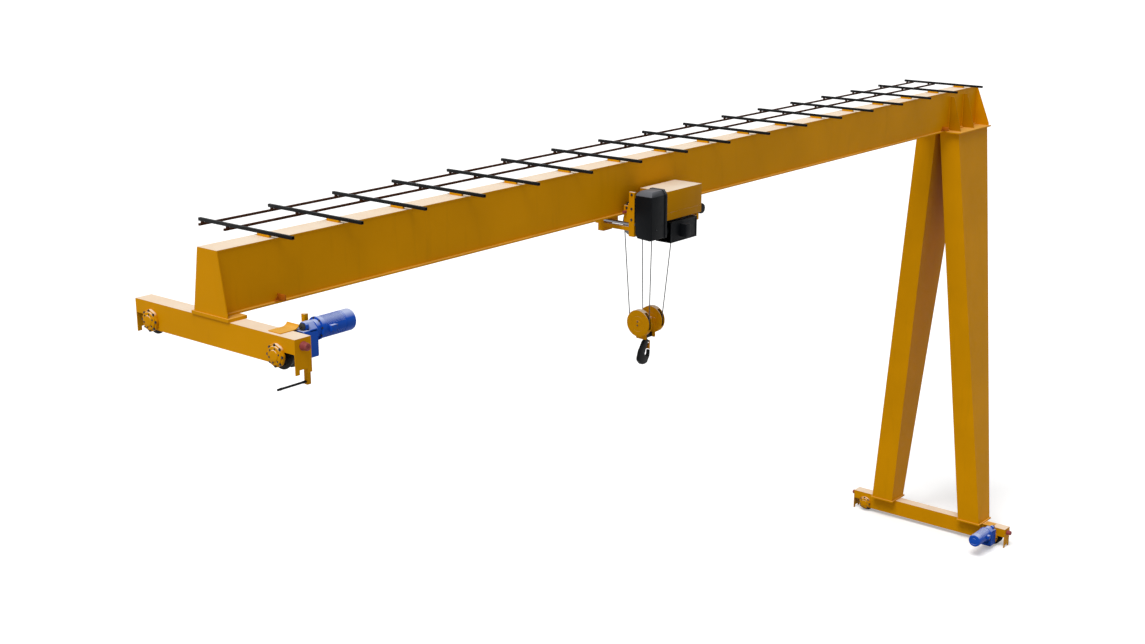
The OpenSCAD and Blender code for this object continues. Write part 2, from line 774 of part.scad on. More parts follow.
// Trolley wheel with its flange and stub axle; side is -1 at the front, plate is the face
// that its axle reaches
module roller(side, plate) {
    for (x = [trolley_start + roller_inset, trolley_end - roller_inset])
        color("#3a3d40") translate([x, 0, roller_z]) rotate([-90 * side, 0, 0]) {
            translate([0, 0, roller_in])
                cylinder(r = roller_r, h = roller_flange_in - roller_in);
            translate([0, 0, roller_flange_in])
                cylinder(r = roller_r + roller_flange, h = roller_flange_w);
            translate([0, 0, roller_flange_in])
                cylinder(r = roller_axle, h = plate - roller_flange_in);
        }
}
module trolley_wheels() {
    roller(-1, frame_in - 2);
    roller(1, rear_plate + trolley_t - 2);
}
module trolley_buffers() {
    color("#8c2f2c") both_ends() {
        for (side = [-1, 1])
            bar_x([trolley_start - 55, side * (roller_flange_in + 57), girder_z + 55], 22, 55);
    }
}

// Hoist
module hoist_gearbox() {
    g = girder_z;
    inner = -frame_out - 18;
    low = g - gear_drop;
    top = g + gear_rise;
    color("#202427") {
        plate_x(trolley_start, hoist_gear_l) polygon([[inner, low + 70], [inner - 32, low + 15],
            [-hoist_out + 40, low], [-hoist_out, low + 10], [-hoist_out, top - 67],
            [-hoist_out + 50, top], [inner - 35, top], [inner, top - 32]]);
        block([trolley_start + 10, inner, g - 80], [trolley_start + frame_t, -frame_out,
            g + 260]);
    }
}
module rope_drum() {
    color("#3a3d40") {
        bar_x([gear_end, -drum_y, drum_z], drum_r - rope_r - touch, drum_l);
        bar_x([gear_end + drum_l, -drum_y, drum_z], drum_shaft,
            trolley_end - frame_t - gear_end - drum_l);
    }
}
module hoist_motor() {
    x = gear_end + 100;
    low = girder_z - hoist_motor_drop;
    high = low + hoist_motor_h;
    color("#24282b") {
        block([x, -hoist_out, low], [x + hoist_motor_l, hoist_motor_w - hoist_out, high]);
        block([x + 220, -hoist_out - 100, low + 58], [x + 335, -hoist_out, high - 44]);
        block([gear_end, 100 - hoist_out, low + 112], [x, 200 - hoist_out, low + 222]);
    }
}
module hoist_cabinet() {
    top = girder_z + cabinet_rise;
    inner = cabinet_w - hoist_out;
    color(paint) {
        block([gear_end, -hoist_out, girder_z - cabinet_drop], [gear_end + cabinet_l, inner,
            top]);
        block([gear_end, inner - weld, top - shelf_h], [gear_end + cabinet_l, -shelf_in,
            top]);
    }
}
module trolley_drive() {
    x = trolley_end - roller_inset;
    case_y = -frame_in - 34;
    motor_end = 100 - hoist_out;
    color("#202427") {
        bar_y([x - 20, motor_end, girder_z - 65], small_motor_r, case_y - motor_end);
        block([x - 130, case_y, girder_z - 144], [x + 120, -frame_in, girder_z + 156]);
    }
}

// A grooved sheave about Z, bored for its axle where bore is over 0
module sheave(r, w, bore) {
    rim = r + 12;
    rotate_extrude($fn = 72) polygon([[bore, -w / 2], [rim - 30, -w / 2], [rim - 30, -14],
        [rim, -14], [r - rope_r - touch, -7], [r - rope_r - touch, 7], [rim, 14], [rim - 30, 14],
        [rim - 30, w / 2], [bore, w / 2]]);
}
module upper_sheave() {
    color("#3a3d40") translate([hook_x, fall_y, upper_z]) rotate([90, 0, 0]) {
        sheave(upper_r, 44, 0);
        cylinder(r = roller_axle, h = 74, center = true);
    }
}

// Hook block: two covered sheaves on one axle, side straps and a crosshead
module hook_block() {
    cheek = hook_x + block_in - strap_t;
    color(paint) for (side = [-1, 1]) {
        translate([hook_x + side * sheave_gap / 2, 0, block_z]) rotate([0, 90, 0])
            difference() {
                cylinder(r = cover_r, h = cover_w, center = true, $fn = 96);
                cylinder(r = cover_r - 7, h = cover_w - 14, center = true, $fn = 96);
                for (y = [-1, 1]) translate([-cover_r - 1, y * sheave_r - 20, -28])
                    cube([cover_r + 1, 40, 56]);
            }
        block([hook_x + side * (block_in - strap_t / 2) - strap_t / 2, -strap_w / 2,
            block_z - strap_drop], [hook_x + side * (block_in - strap_t / 2) + strap_t / 2,
            strap_w / 2, block_z + 40]);
    }
    color("#202427") bar_x([hook_x - sheave_gap / 2 - cover_w / 2 - 6, 0, block_z], block_shaft,
        sheave_gap + cover_w + 12);
    color("#202427") difference() {
        block([2 * hook_x - cheek, -crosshead_w / 2, crosshead_top - crosshead_h],
            [cheek, crosshead_w / 2, crosshead_top]);
        bar_z([hook_x, 0, crosshead_top - crosshead_h - 10], shank_r + run_fit,
            crosshead_h + 20);
    }
}
module block_sheave(side) {
    color("#3a3d40") translate([hook_x + side * sheave_gap / 2, 0, block_z])
        rotate([0, 90, 0]) sheave(sheave_r, 60, block_shaft + run_fit);
}
module sheave_left() { block_sheave(-1); }
module sheave_right() { block_sheave(1); }
// Hook, drawn about its bowl's centre: body, neck, shank with its nut, and the latch's boss
latch_x = bowl_r + 14;
latch_z = 168;
latch_pin = 7;
module hook_outline() {
    b = bowl_r;
    w = hook_w;
    difference() {
        polygon([[24, 207], [-24, 207], [-60, 192], [-78, 168], [-0.69 * w - b, 108],
            [-1.02 * w - b, 66], [-1.2 * w - b, 8], [-1.35 * w - b, -0.5 * w],
            [-1.02 * w - b, -0.58 * w - b], [-0.62 * w - b, -w - b], [8, -w - b],
            [b - 10, -0.48 * w - b], [b + 21, -0.15 * w - b], [b + 29, 8], [b + 30, 30],
            [b + 24, 40], [b + 8, 40], [b, 28], [b, 0], [-b / 2, 0], [-28, 54], [-9, 80],
            [8, 107], [26, 142], [26, 192]]);
        circle(r = b, $fn = 64);
    }
}
module load_hook() {
    half = hook_t / 2;
    color("#202427") translate([hook_x, 0, hook_z]) {
        plate_y(-half, hook_t) hook_outline();
        bar_z([0, 0, 190], shank_r, crosshead_top + 35 - hook_z - 190);
        bar_z([0, 0, crosshead_top + touch - hook_z], shank_r + 16, 32);
        block([10, -14, latch_z - 14], [latch_x + 10, 14, latch_z + 14]);
        bar_y([latch_x, -26, latch_z], latch_pin, 52);
    }
}
// Latch: two cheeks outside the boss, joined by a web below it
module hook_latch() {
    l = 120;
    cheek_in = 19;
    cheek_out = 24;
    ear = 14;
    difference() {
        color(paint) translate([hook_x + latch_x, 0, hook_z + latch_z]) {
            for (y = [-cheek_out, cheek_in]) {
                bar_y([0, y, 0], ear, cheek_out - cheek_in);
                plate_y(y, cheek_out - cheek_in) polygon([[-9, 0], [ear, 0], [16, -20], [16, -l],
                    [-9, -l]]);
            }
            block([11, -cheek_in - weld, -l], [16, cheek_in + weld, -36]);
        }
        bar_y([hook_x + latch_x, -30, hook_z + latch_z], latch_pin + run_fit, 60);
    }
}

// Ropes: four taut falls from the trolley to the hook block
module rope(a, b) {
    d = b - a;
    translate(a) rotate([0, acos(d[2] / norm(d)), atan2(d[1], d[0])])
        cylinder(r = rope_r, h = norm(d));
}
module hoist_ropes() {
    for (side = [-1, 1], y = [-1, 1]) color("#8b8f94")
        rope([hook_x + side * sheave_gap / 2 - (side > y ? rope_lead : 0), y * sheave_r, block_z],
            y > 0 ? [hook_x + side * upper_r, fall_y, upper_z]
                : side < 0 ? [hook_x - upper_r, -fall_y, beam_low - touch]
                : [hook_x + drum_fall, -fall_y, drum_z]);
}

girder_top_plate();
girder_bottom_flange();
girder_front_web();
girder_rear_web();
runway_end_plate();
leg_end_plate();
saddle_plate();
saddle_pad();
leg_cap_plate();
cap_gussets();
front_leg();
rear_leg();
leg_base_plates();
base_gussets();
runway_carriage();
ground_carriage();
rail_sweeps();
end_buffers();
bearing_caps();
drive_gearboxes();
drive_motors();
torque_plates();
collector_post();
collector_rod();
festoon_arms();
festoon_rails();
trolley_end_stops();
hoist_end_frames();
hoist_side_beam();
wheel_carriers();
rear_brackets();
cross_beams();
cross_rods();
counterweight();
sheave_beam();
rope_anchor();
hoist_gearbox();
rope_drum();
hoist_motor();
hoist_cabinet();
trolley_drive();
trolley_buffers();
trolley_wheels();
runway_wheel_near();
runway_wheel_far();
ground_wheel_near();
ground_wheel_far();
upper_sheave();
hook_block();
sheave_left();
sheave_right();
load_hook();
hook_latch();
hoist_ropes();
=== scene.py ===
"""Looks of a semi-gantry crane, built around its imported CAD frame. Units are metres."""

import math

import bmesh
import bpy
from mathutils import Matrix, Vector


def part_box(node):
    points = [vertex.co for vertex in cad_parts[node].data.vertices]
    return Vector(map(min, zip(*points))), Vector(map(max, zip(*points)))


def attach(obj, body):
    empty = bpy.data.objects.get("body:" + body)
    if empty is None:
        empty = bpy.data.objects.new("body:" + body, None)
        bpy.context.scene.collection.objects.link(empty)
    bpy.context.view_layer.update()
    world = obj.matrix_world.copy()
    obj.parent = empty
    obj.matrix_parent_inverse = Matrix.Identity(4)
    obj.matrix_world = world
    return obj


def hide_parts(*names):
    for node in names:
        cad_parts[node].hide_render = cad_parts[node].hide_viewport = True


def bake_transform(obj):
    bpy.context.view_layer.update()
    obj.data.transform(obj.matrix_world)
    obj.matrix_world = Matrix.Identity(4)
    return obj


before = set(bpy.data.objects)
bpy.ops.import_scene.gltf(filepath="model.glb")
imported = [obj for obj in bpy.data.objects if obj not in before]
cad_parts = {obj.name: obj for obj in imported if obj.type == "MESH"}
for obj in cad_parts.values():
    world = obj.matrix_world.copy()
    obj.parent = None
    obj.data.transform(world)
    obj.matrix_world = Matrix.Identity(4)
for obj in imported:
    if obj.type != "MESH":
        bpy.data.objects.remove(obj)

bl_info = {
    "name": "Semi-gantry crane",
    "version": (1, 0, 0),
    "blender": (4, 5, 0),
    "location": "View3D > Sidebar > Crane",
    "description": "Models the pieces and finishes of a semi-gantry crane on its CAD frame",
    "category": "Object",
}


def middle(box):
    return (box[0] + box[1]) / 2


# Levels and places read from the frame
GIRDER_LOW, GIRDER_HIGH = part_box("girder_bottom_flange")
GIRDER_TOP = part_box("girder_top_plate")[1].z
CARRIAGE_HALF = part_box("runway_carriage")[1].x
GROUND_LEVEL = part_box("rail_sweeps")[0].z
WHEEL_BODIES = {
    f"{rail}_wheel_{end}": f"{rail}_{end}_wheel"
    for rail in ("runway", "ground")
    for end in ("near", "far")
}
WHEELS = {name: middle(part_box(name)) for name in WHEEL_BODIES}
TROLLEY_LOW, TROLLEY_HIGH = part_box("hoist_end_frames")
FRAME_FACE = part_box("hoist_side_beam")[0].y
HOOK_X = (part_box("sheave_left")[0].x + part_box("sheave_right")[1].x) / 2

# Turns that stand a shape, made along Z, on another axis
TO_X = Matrix(((0, 0, 1), (1, 0, 0), (0, 1, 0)))
TO_MINUS_X = Matrix(((0, 0, -1), (-1, 0, 0), (0, 1, 0)))
TO_Y = Matrix(((1, 0, 0), (0, 0, 1), (0, -1, 0)))
TO_MINUS_Y = Matrix(((1, 0, 0), (0, 0, -1), (0, 1, 0)))
SCREW_TO_MINUS_X = Matrix(((0, 0, -1), (0, 1, 0), (1, 0, 0)))
SWAP_X_Y = Matrix(((0, 1, 0), (1, 0, 0), (0, 0, 1)))
MIRROR_X = Matrix.Scale(-1, 3, (1, 0, 0))
UPSIDE_DOWN = Matrix.Rotation(math.pi, 3, "X")
UP = Matrix.Identity(3)


def colour_value(name, description, default):
    return bpy.props.FloatVectorProperty(
        name=name, description=description, subtype="COLOR", size=3, min=0, max=1, default=default
    )


def length_value(name, description, default, least, most):
    return bpy.props.FloatProperty(
        name=name, description=description, default=default, min=least, max=most, unit="LENGTH"
    )


class CranePaints(bpy.types.PropertyGroup):
    """Colours of the crane's finishes."""

    enamel: colour_value("Crane enamel", "Gloss enamel of the steelwork", (0.68, 0.29, 0.0))
    drive: colour_value("Drive enamel", "Enamel of the travel gearboxes and motors", (0.008, 0.078, 0.48))
    hoist: colour_value("Hoist enamel", "Satin enamel of the hoist's housings", (0.006, 0.007, 0.0085))
    buffer: colour_value("Buffer rubber", "Dull rubber of the buffers", (0.27, 0.042, 0.042))
    bars: colour_value("Festoon bars", "Matt paint of the cross bars on the girder", (0.007, 0.0075, 0.008))
    rails: colour_value("Festoon rails", "Matt primer of the rails under the bars", (0.055, 0.02, 0.009))
    primer: colour_value("Stop primer", "Red primer of the trolley's end stops", (0.42, 0.115, 0.004))


class CraneDetails(bpy.types.PropertyGroup):
    """Sizes of the details that the looks add to the CAD frame."""

    edge: length_value("Edge rounding", "Rounding of plate and casting edges", 0.003, 0.0005, 0.01)
    bolt: length_value("Bolt head", "Radius of a main bolt's head over its corners", 0.0135, 0.006, 0.02)
    weld: length_value("Weld bead", "Radius of the weld beads", 0.006, 0.003, 0.01)
    strand: length_value("Strand pitch", "Length in which a rope's strands go round once", 0.09, 0.03, 0.2)
    fins: bpy.props.IntProperty(
        name="Motor fins",
        description="Number of cooling fins round a travel motor",
        default=44,
        min=12,
        max=60,
    )


class CraneStage(bpy.types.PropertyGroup):
    """Camera and light."""

    camera_place: bpy.props.FloatVectorProperty(
        name="Camera place",
        description="Place of the camera",
        subtype="TRANSLATION",
        size=3,
        default=(-10.122, -13.156, 4.746),
    )
    camera_turn: bpy.props.FloatVectorProperty(
        name="Camera turn",
        description="Turn of the camera",
        subtype="EULER",
        size=3,
        default=(math.radians(74.433), 0.0, math.radians(-50.588)),
    )
    lens: bpy.props.FloatProperty(
        name="Lens",
        description="Focal length on a sensor 36 mm wide",
        default=49.84,
        min=20,
        max=200,
        unit="CAMERA",
    )
    sun: bpy.props.FloatProperty(
        name="Sun", description="Strength of the soft main light", default=2.3, min=0, max=6
    )
    sky: bpy.props.FloatProperty(
        name="Sky", description="Strength of the even light from all round", default=0.45, min=0, max=1
    )
    floor: colour_value("Floor", "Colour of the floor", (0.86, 0.86, 0.86))


def paints():
    return bpy.context.scene.crane_paints


def details():
    return bpy.context.scene.crane_details


# Modelling, as by hand


def deselect():
    active = bpy.context.view_layer.objects.active
    if active is not None and active.mode != "OBJECT":
        bpy.ops.object.mode_set(mode="OBJECT")
    bpy.ops.object.select_all(action="DESELECT")


def pick(*shapes):
    deselect()
    for shape in shapes:
        shape.select_set(True)
    bpy.context.view_layer.objects.active = shapes[0]


def edit(shape):
    """Edit mode with the whole mesh selected."""
    pick(shape)
    bpy.ops.object.mode_set(mode="EDIT")
    bpy.ops.mesh.select_all(action="SELECT")


def leave(shape):
    bpy.ops.object.mode_set(mode="OBJECT")
    return shape


def settle(shape):
    pick(shape)
    bpy.ops.object.transform_apply(location=True, rotation=True, scale=True)
    return shape


def shift(x, y, z):
    return Matrix.Translation((x, y, z))


def spot(origin, turn=UP):
    return Matrix.Translation(origin) @ turn.to_4x4()


def place(shape, origin, turn=UP):
    shape.matrix_world = spot(origin, turn)
    return settle(shape)


def block(low, high):
    low, high = Vector(low), Vector(high)
    deselect()
    bpy.ops.mesh.primitive_cube_add(size=1, location=(low + high) / 2, scale=high - low)
    return settle(bpy.context.object)


def rod(start, end, radius, sides=24):
    """A round bar between two points."""
    start, end = Vector(start), Vector(end)
    way = end - start
    deselect()
    bpy.ops.mesh.primitive_cylinder_add(vertices=sides, radius=radius, depth=way.length)
    turn = Vector((0, 0, 1)).rotation_difference(way).to_matrix()
    return place(bpy.context.object, (start + end) / 2, turn)


def outward(shape):
    edit(shape)
    bpy.ops.mesh.remove_doubles(threshold=1e-6)
    bpy.ops.mesh.normals_make_consistent(inside=False)
    return leave(shape)


def extrude(rise):
    bpy.ops.mesh.extrude_region_move(TRANSFORM_OT_translate={"value": (0, 0, rise)})


def slab(outline, depth):
    """A plate: an outline in X and Y, extruded up Z."""
    deselect()
    bpy.ops.mesh.primitive_circle_add(vertices=len(outline), radius=1, fill_type="NGON")
    shape = bpy.context.object
    for vertex, (x, y) in zip(shape.data.vertices, outline):
        vertex.co = (x, y, 0)
    edit(shape)
    extrude(depth)
    return outward(leave(shape))


def turned(profile, sides=48):
    """A turned shape about Z through (radius, height) points."""
    radius, height = profile[0]
    deselect()
    bpy.ops.mesh.primitive_circle_add(
        vertices=sides, radius=radius, fill_type="NGON", location=(0, 0, height)
    )
    shape = settle(bpy.context.object)
    edit(shape)
    for wide, high in profile[1:]:
        extrude(high - height)
        if abs(wide - radius) > 1e-7:
            grow = wide / radius
            bpy.ops.transform.resize(value=(grow, grow, 1), center_override=(0, 0, high))
        radius, height = wide, high
    return outward(leave(shape))


def around(x, y, *offsets):
    """Points given by how far each is from one point."""
    return [(x + across, y + up) for across, up in offsets]


def both_sides(profile):
    """A profile and its mirror image about height 0."""
    return profile + [(radius, -height) for radius, height in reversed(profile)]


def modify(shape, kind, **values):
    pick(shape)
    modifier = shape.modifiers.new(kind, kind)
    for key, value in values.items():
        setattr(modifier, key, value)
    bpy.ops.object.modifier_apply(modifier=modifier.name)
    return shape


def rounded(shape, width, steps=2, angle=30):
    return modify(
        shape,
        "BEVEL",
        width=width,
        segments=steps,
        limit_method="ANGLE",
        angle_limit=math.radians(angle),
        use_clamp_overlap=True,
    )


def soft_block(low, high, width, steps=2):
    return rounded(block(low, high), width, steps)


def cut(shape, *tools):
    for tool in tools:
        modify(shape, "BOOLEAN", object=tool, operation="DIFFERENCE", solver="EXACT")
        bpy.data.objects.remove(tool)
    return shape


def join(*shapes):
    pick(*shapes)
    if len(shapes) > 1:
        bpy.ops.object.join()
    return shapes[0]


def twin_of(shape):
    twin = shape.copy()
    twin.data = shape.data.copy()
    bpy.context.scene.collection.objects.link(twin)
    return twin


def repeat(shape, moves):
    """Copies of a shape, each with its own mesh, joined; the shape itself goes."""
    made = []
    for move in moves:
        twin = twin_of(shape)
        twin.data.transform(move)
        if move.determinant() < 0:
            twin.data.flip_normals()
        made.append(twin)
    bpy.data.objects.remove(shape)
    return join(*made)


def facing(shape, test, depth=0.0, inset=0.0):
    """Insets, then extrudes along their normals, the faces whose normal passes a test."""
    pick(shape)
    bpy.ops.object.mode_set(mode="EDIT")
    bpy.ops.mesh.select_mode(type="FACE")
    bpy.ops.mesh.select_all(action="DESELECT")
    mesh = bmesh.from_edit_mesh(shape.data)
    for face in mesh.faces:
        face.select = test(face.normal)
    bmesh.update_edit_mesh(shape.data)
    bpy.ops.mesh.inset(thickness=inset, depth=0)
    if depth:
        bpy.ops.mesh.extrude_region_shrink_fatten(TRANSFORM_OT_shrink_fatten={"value": depth})
    return leave(shape)


def ring_of(count, radius, height=0.0, start=0.0):
    return [
        Matrix.Rotation(start + i * math.tau / count, 4, "Z") @ shift(radius, 0, height)
        for i in range(count)
    ]


def bolt(radius, height):
    """A hexagon head with a chamfered top on its washer, standing on Z 0."""
    washer_wide = radius * 1.4
    deselect()
    bpy.ops.mesh.primitive_cylinder_add(
        vertices=6, radius=radius, depth=height, location=(0, 0, height / 2)
    )
    head = settle(bpy.context.object)
    facing(head, lambda normal: normal.z > 0.9, inset=radius * 0.14)
    pick(head)
    bpy.ops.object.mode_set(mode="EDIT")
    bpy.ops.transform.translate(value=(0, 0, height * 0.12))
    washer = turned([(washer_wide, -0.001), (washer_wide, height * 0.22)], sides=12)
    return join(head, washer)


def arc(radius, degrees, centre=(0, 0)):
    """The points round a centre at the given angles."""
    angles = [math.radians(angle) for angle in degrees]
    return [(centre[0] + radius * math.cos(a), centre[1] + radius * math.sin(a)) for a in angles]


def eased(points):
    """Open outline with its corners cut twice; both of its ends stay."""
    for _ in range(2):
        softer = [points[0]]
        for start, end in zip(points, points[1:]):
            for share in (0.25, 0.75):
                softer.append(tuple(a + share * (b - a) for a, b in zip(start, end)))
        points = [*softer, points[-1]]
    return points


def chamfered(x0, y0, x1, y1, corner):
    """A rectangle's outline with its corners cut."""
    below = [(x0, y0 + corner), (x0 + corner, y0), (x1 - corner, y0), (x1, y0 + corner)]
    above = [(x1, y1 - corner), (x1 - corner, y1), (x0 + corner, y1), (x0, y1 - corner)]
    return below + above


def finish(shape, name, body, look, replaces=(), angle=30):
    """The last steps of a piece: smooth shading, finish, body and the CAD it stands for."""
    settle(shape)
    shape.name = name
    shape.data.name = name
    bpy.ops.object.shade_smooth_by_angle(angle=math.radians(angle))
    for modifier in list(shape.modifiers):
        bpy.ops.object.modifier_apply(modifier=modifier.name)
    if body is not None:
        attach(shape, body)
    wear(shape, look)
    for face in shape.data.polygons:
        face.material_index = 0
    if replaces:
        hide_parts(*replaces)
    return shape


def wear(shape, look):
    """Gives a piece one finish."""
    shape.data.materials.clear()
    shape.data.materials.append(FINISHES[look])


def solids(node):
    """The boxes of a CAD node's separate solids, as (lowest, highest) corners."""
    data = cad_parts[node].data
    keys = [tuple(round(c, 5) for c in vertex.co) for vertex in data.vertices]
    parent = {key: key for key in keys}

    def root(key):
        while parent[key] != key:
            parent[key] = parent[parent[key]]
            key = parent[key]
        return key

    for face in data.polygons:
        first, *others = [root(keys[i]) for i in face.vertices]
        for other in others:
            parent[root(other)] = root(first)
    groups = {}
    for key in parent:
        groups.setdefault(root(key), []).append(key)
    boxes = [(Vector(map(min, *group)), Vector(map(max, *group))) for group in groups.values()]
    return sorted(boxes, key=lambda box: tuple(box[0]))


# Finishes


class Nodes:
    """A node tree, with short calls for its nodes."""

    def __init__(self, tree):
        self.tree = tree

    def add(self, kind, **values):
        node = self.tree.nodes.new(kind)
        for key, value in values.items():
            setattr(node, key, value)
        return node

    def link(self, start, end):
        self.tree.links.new(start, end)

    def feed(self, socket, value):
        if isinstance(value, bpy.types.NodeSocket):
            self.link(value, socket)
        else:
            socket.default_value = value

    def place(self, scale=(1, 1, 1), source="Object"):
        mapping = self.add("ShaderNodeMapping")
        self.link(self.add("ShaderNodeTexCoord").outputs[source], mapping.inputs["Vector"])
        mapping.inputs["Scale"].default_value = scale
        return mapping.outputs["Vector"]

    def noise(self, scale, detail=3.0, rough=0.55, stretch=(1, 1, 1)):
        node = self.add("ShaderNodeTexNoise")
        self.link(self.place(stretch), node.inputs["Vector"])
        node.inputs["Scale"].default_value = scale
        node.inputs["Detail"].default_value = detail
        node.inputs["Roughness"].default_value = rough
        return node.outputs["Fac"]

    def span(self, value, low, high, to_low=0.0, to_high=1.0):
        node = self.add("ShaderNodeMapRange")
        self.link(value, node.inputs["Value"])
        numbers = {"From Min": low, "From Max": high, "To Min": to_low, "To Max": to_high}
        for key, number in numbers.items():
            node.inputs[key].default_value = number
        return node.outputs["Result"]

    def sum(self, kind, first, second):
        node = self.add("ShaderNodeMath", operation=kind)
        self.feed(node.inputs[0], first)
        self.feed(node.inputs[1], second)
        return node.outputs[0]

    def blend(self, share, first, second):
        node = self.add("ShaderNodeMix", data_type="RGBA")
        self.feed(node.inputs["Factor"], share)
        for socket, value in ((node.inputs["A"], first), (node.inputs["B"], second)):
            self.feed(socket, value if isinstance(value, bpy.types.NodeSocket) else (*value, 1))
        return node.outputs["Result"]

    def tones(self, value, colour, dark, light):
        """A colour that goes from darker to lighter with a noise value."""
        return self.blend(self.span(value, 0.3, 0.7), shade(colour, dark), shade(colour, light))

    def seen(self, when_seen, otherwise=0.0):
        """A number for camera, glossy and transmission rays, and another for the rest."""
        path = self.add("ShaderNodeLightPath")
        share = path.outputs["Is Camera Ray"]
        for name in ("Is Glossy Ray", "Is Transmission Ray"):
            share = self.sum("MAXIMUM", share, path.outputs[name])
        return self.span(share, 0, 1, otherwise, when_seen)


class Finish(Nodes):
    """A material with one shader."""

    def __init__(self, name):
        self.material = bpy.data.materials.get(name) or bpy.data.materials.new(name)
        self.material.use_nodes = True
        super().__init__(self.material.node_tree)
        self.tree.nodes.clear()
        self.shader = self.add("ShaderNodeBsdfPrincipled")
        output = self.add("ShaderNodeOutputMaterial")
        self.link(self.shader.outputs["BSDF"], output.inputs["Surface"])

    def upward(self):
        """1 on faces that look up, 0 on the others."""
        split = self.add("ShaderNodeSeparateXYZ")
        self.link(self.add("ShaderNodeNewGeometry").outputs["Normal"], split.inputs[0])
        return self.span(split.outputs["Z"], 0.45, 0.9)

    def bump(self, height, strength, distance):
        """Sets the bump, the last step of a finish, and gives the material."""
        node = self.add("ShaderNodeBump")
        self.link(height, node.inputs["Height"])
        node.inputs["Strength"].default_value = strength
        node.inputs["Distance"].default_value = distance
        self.link(node.outputs["Normal"], self.shader.inputs["Normal"])
        return self.material

    def set(self, **values):
        for key, value in values.items():
            self.feed(self.shader.inputs[key.replace("_", " ")], value)


def shade(colour, factor):
    return tuple(min(1.0, c * factor) for c in colour)


def enamel(name, colour, rough=0.42, top_highlight=0.72, peel=0.05, highlight_colour=(0.93, 0.86, 0.74), gloss=0.03):
    """Sprayed enamel: broad tone changes, faint runs, and a pale painted highlight on faces that look up.
    """
    made = Finish(name)
    tone = made.tones(made.noise(0.7, 3), colour, 0.92, 1.06)
    runs = made.noise(9.0, 4, stretch=(1, 1, 0.12))
    tone = made.blend(made.span(runs, 0.58, 0.8, 0, 0.2), tone, shade(colour, 0.62))
    # Painted highlight: how strongly the pale colour lies on faces that look up, varied by noise.
    cover = made.span(made.noise(2.5, 5, 0.65), 0.25, 0.75, top_highlight * 0.85, top_highlight * 1.1)
    made.set(
        Base_Color=made.blend(made.sum("MULTIPLY", made.upward(), cover), tone, highlight_colour),
        Roughness=made.span(made.noise(14.0, 4), 0.3, 0.7, rough - 0.05, rough + 0.09),
        Specular_IOR_Level=gloss,
    )
    return made.bump(made.noise(60.0, 2), peel, 0.0004)


def matt(name, colour, rough=0.62, grain=0.3):
    """Matt paint or primer with a dry grain and lighter flecks of tone."""
    made = Finish(name)
    broad = made.noise(3.0, 4)
    fine = made.noise(140.0, 3)
    tone = made.tones(broad, colour, 0.75, 1.3)
    made.set(
        Base_Color=made.blend(made.span(fine, 0.55, 0.8, 0, 0.35), tone, shade(colour, 2.2)),
        Roughness=made.span(broad, 0.3, 0.7, rough - 0.08, rough + 0.1),
        Specular_IOR_Level=0.1,
    )
    return made.bump(fine, grain, 0.0006)


def rubber(name, colour):
    """Dull rubber with a pale bloom in its grain."""
    made = Finish(name)
    fine = made.noise(90.0, 5, 0.7)
    tone = made.tones(made.noise(18.0, 3), colour, 0.75, 1.2)
    made.set(
        Base_Color=made.blend(made.span(fine, 0.6, 0.85, 0, 0.3), tone, (0.5, 0.4, 0.36)),
        Roughness=made.span(fine, 0.3, 0.7, 0.5, 0.72),
        Specular_IOR_Level=0.35,
    )
    return made.bump(fine, 0.35, 0.0008)


def steel(name, colour, rough=0.3, rust=0.15):
    """Turned or rolled steel with fine tool marks and a trace of rust."""
    made = Finish(name)
    marks = made.noise(220.0, 2)
    stain = made.noise(11.0, 5, 0.65)
    tone = made.tones(marks, colour, 0.8, 1.15)
    made.set(
        Base_Color=made.blend(made.span(stain, 0.55, 0.8, 0, rust), tone, (0.16, 0.07, 0.03)),
        Roughness=made.span(stain, 0.3, 0.75, rough - 0.06, rough + 0.18),
        Metallic=0.9,
    )
    return made.bump(marks, 0.25, 0.0004)


def wheel_iron(name):
    """Dark cast sides and a rolled tread, which the wheel's own attribute marks."""
    made = Finish(name)
    fine = made.noise(60.0, 4)
    tread = made.add("ShaderNodeAttribute", attribute_name="tread").outputs["Fac"]
    marks = made.noise(260.0, 2)
    dark = made.blend(made.span(fine, 0.3, 0.7), (0.004, 0.004, 0.004), (0.014, 0.012, 0.010))
    bright = made.blend(made.span(marks, 0.3, 0.7), (0.018, 0.017, 0.016), (0.045, 0.043, 0.04))
    made.set(
        Base_Color=made.blend(tread, dark, bright),
        Metallic=made.sum("MULTIPLY", tread, 0.6),
        Roughness=made.span(fine, 0.3, 0.7, 0.42, 0.62),
        Specular_IOR_Level=0.08,
    )
    return made.bump(fine, 0.3, 0.0008)


def rope_wire(name):
    """Six strands laid round a rope, drawn on the rope's own UV map."""
    strands = 6
    made = Finish(name)
    split = made.add("ShaderNodeSeparateXYZ")
    made.link(made.place(source="UV"), split.inputs[0])
    lay = made.sum("ADD", split.outputs["X"], split.outputs["Y"])
    wave = made.sum("SINE", made.sum("MULTIPLY", lay, math.tau * strands), 0.0)
    made.set(
        Base_Color=made.blend(made.span(wave, -1, 1), (0.02, 0.02, 0.023), (0.10, 0.10, 0.11)),
        Metallic=0.3,
        Roughness=made.span(made.noise(30.0, 3), 0.3, 0.7, 0.35, 0.55),
    )
    return made.bump(wave, 0.8, 0.0015)


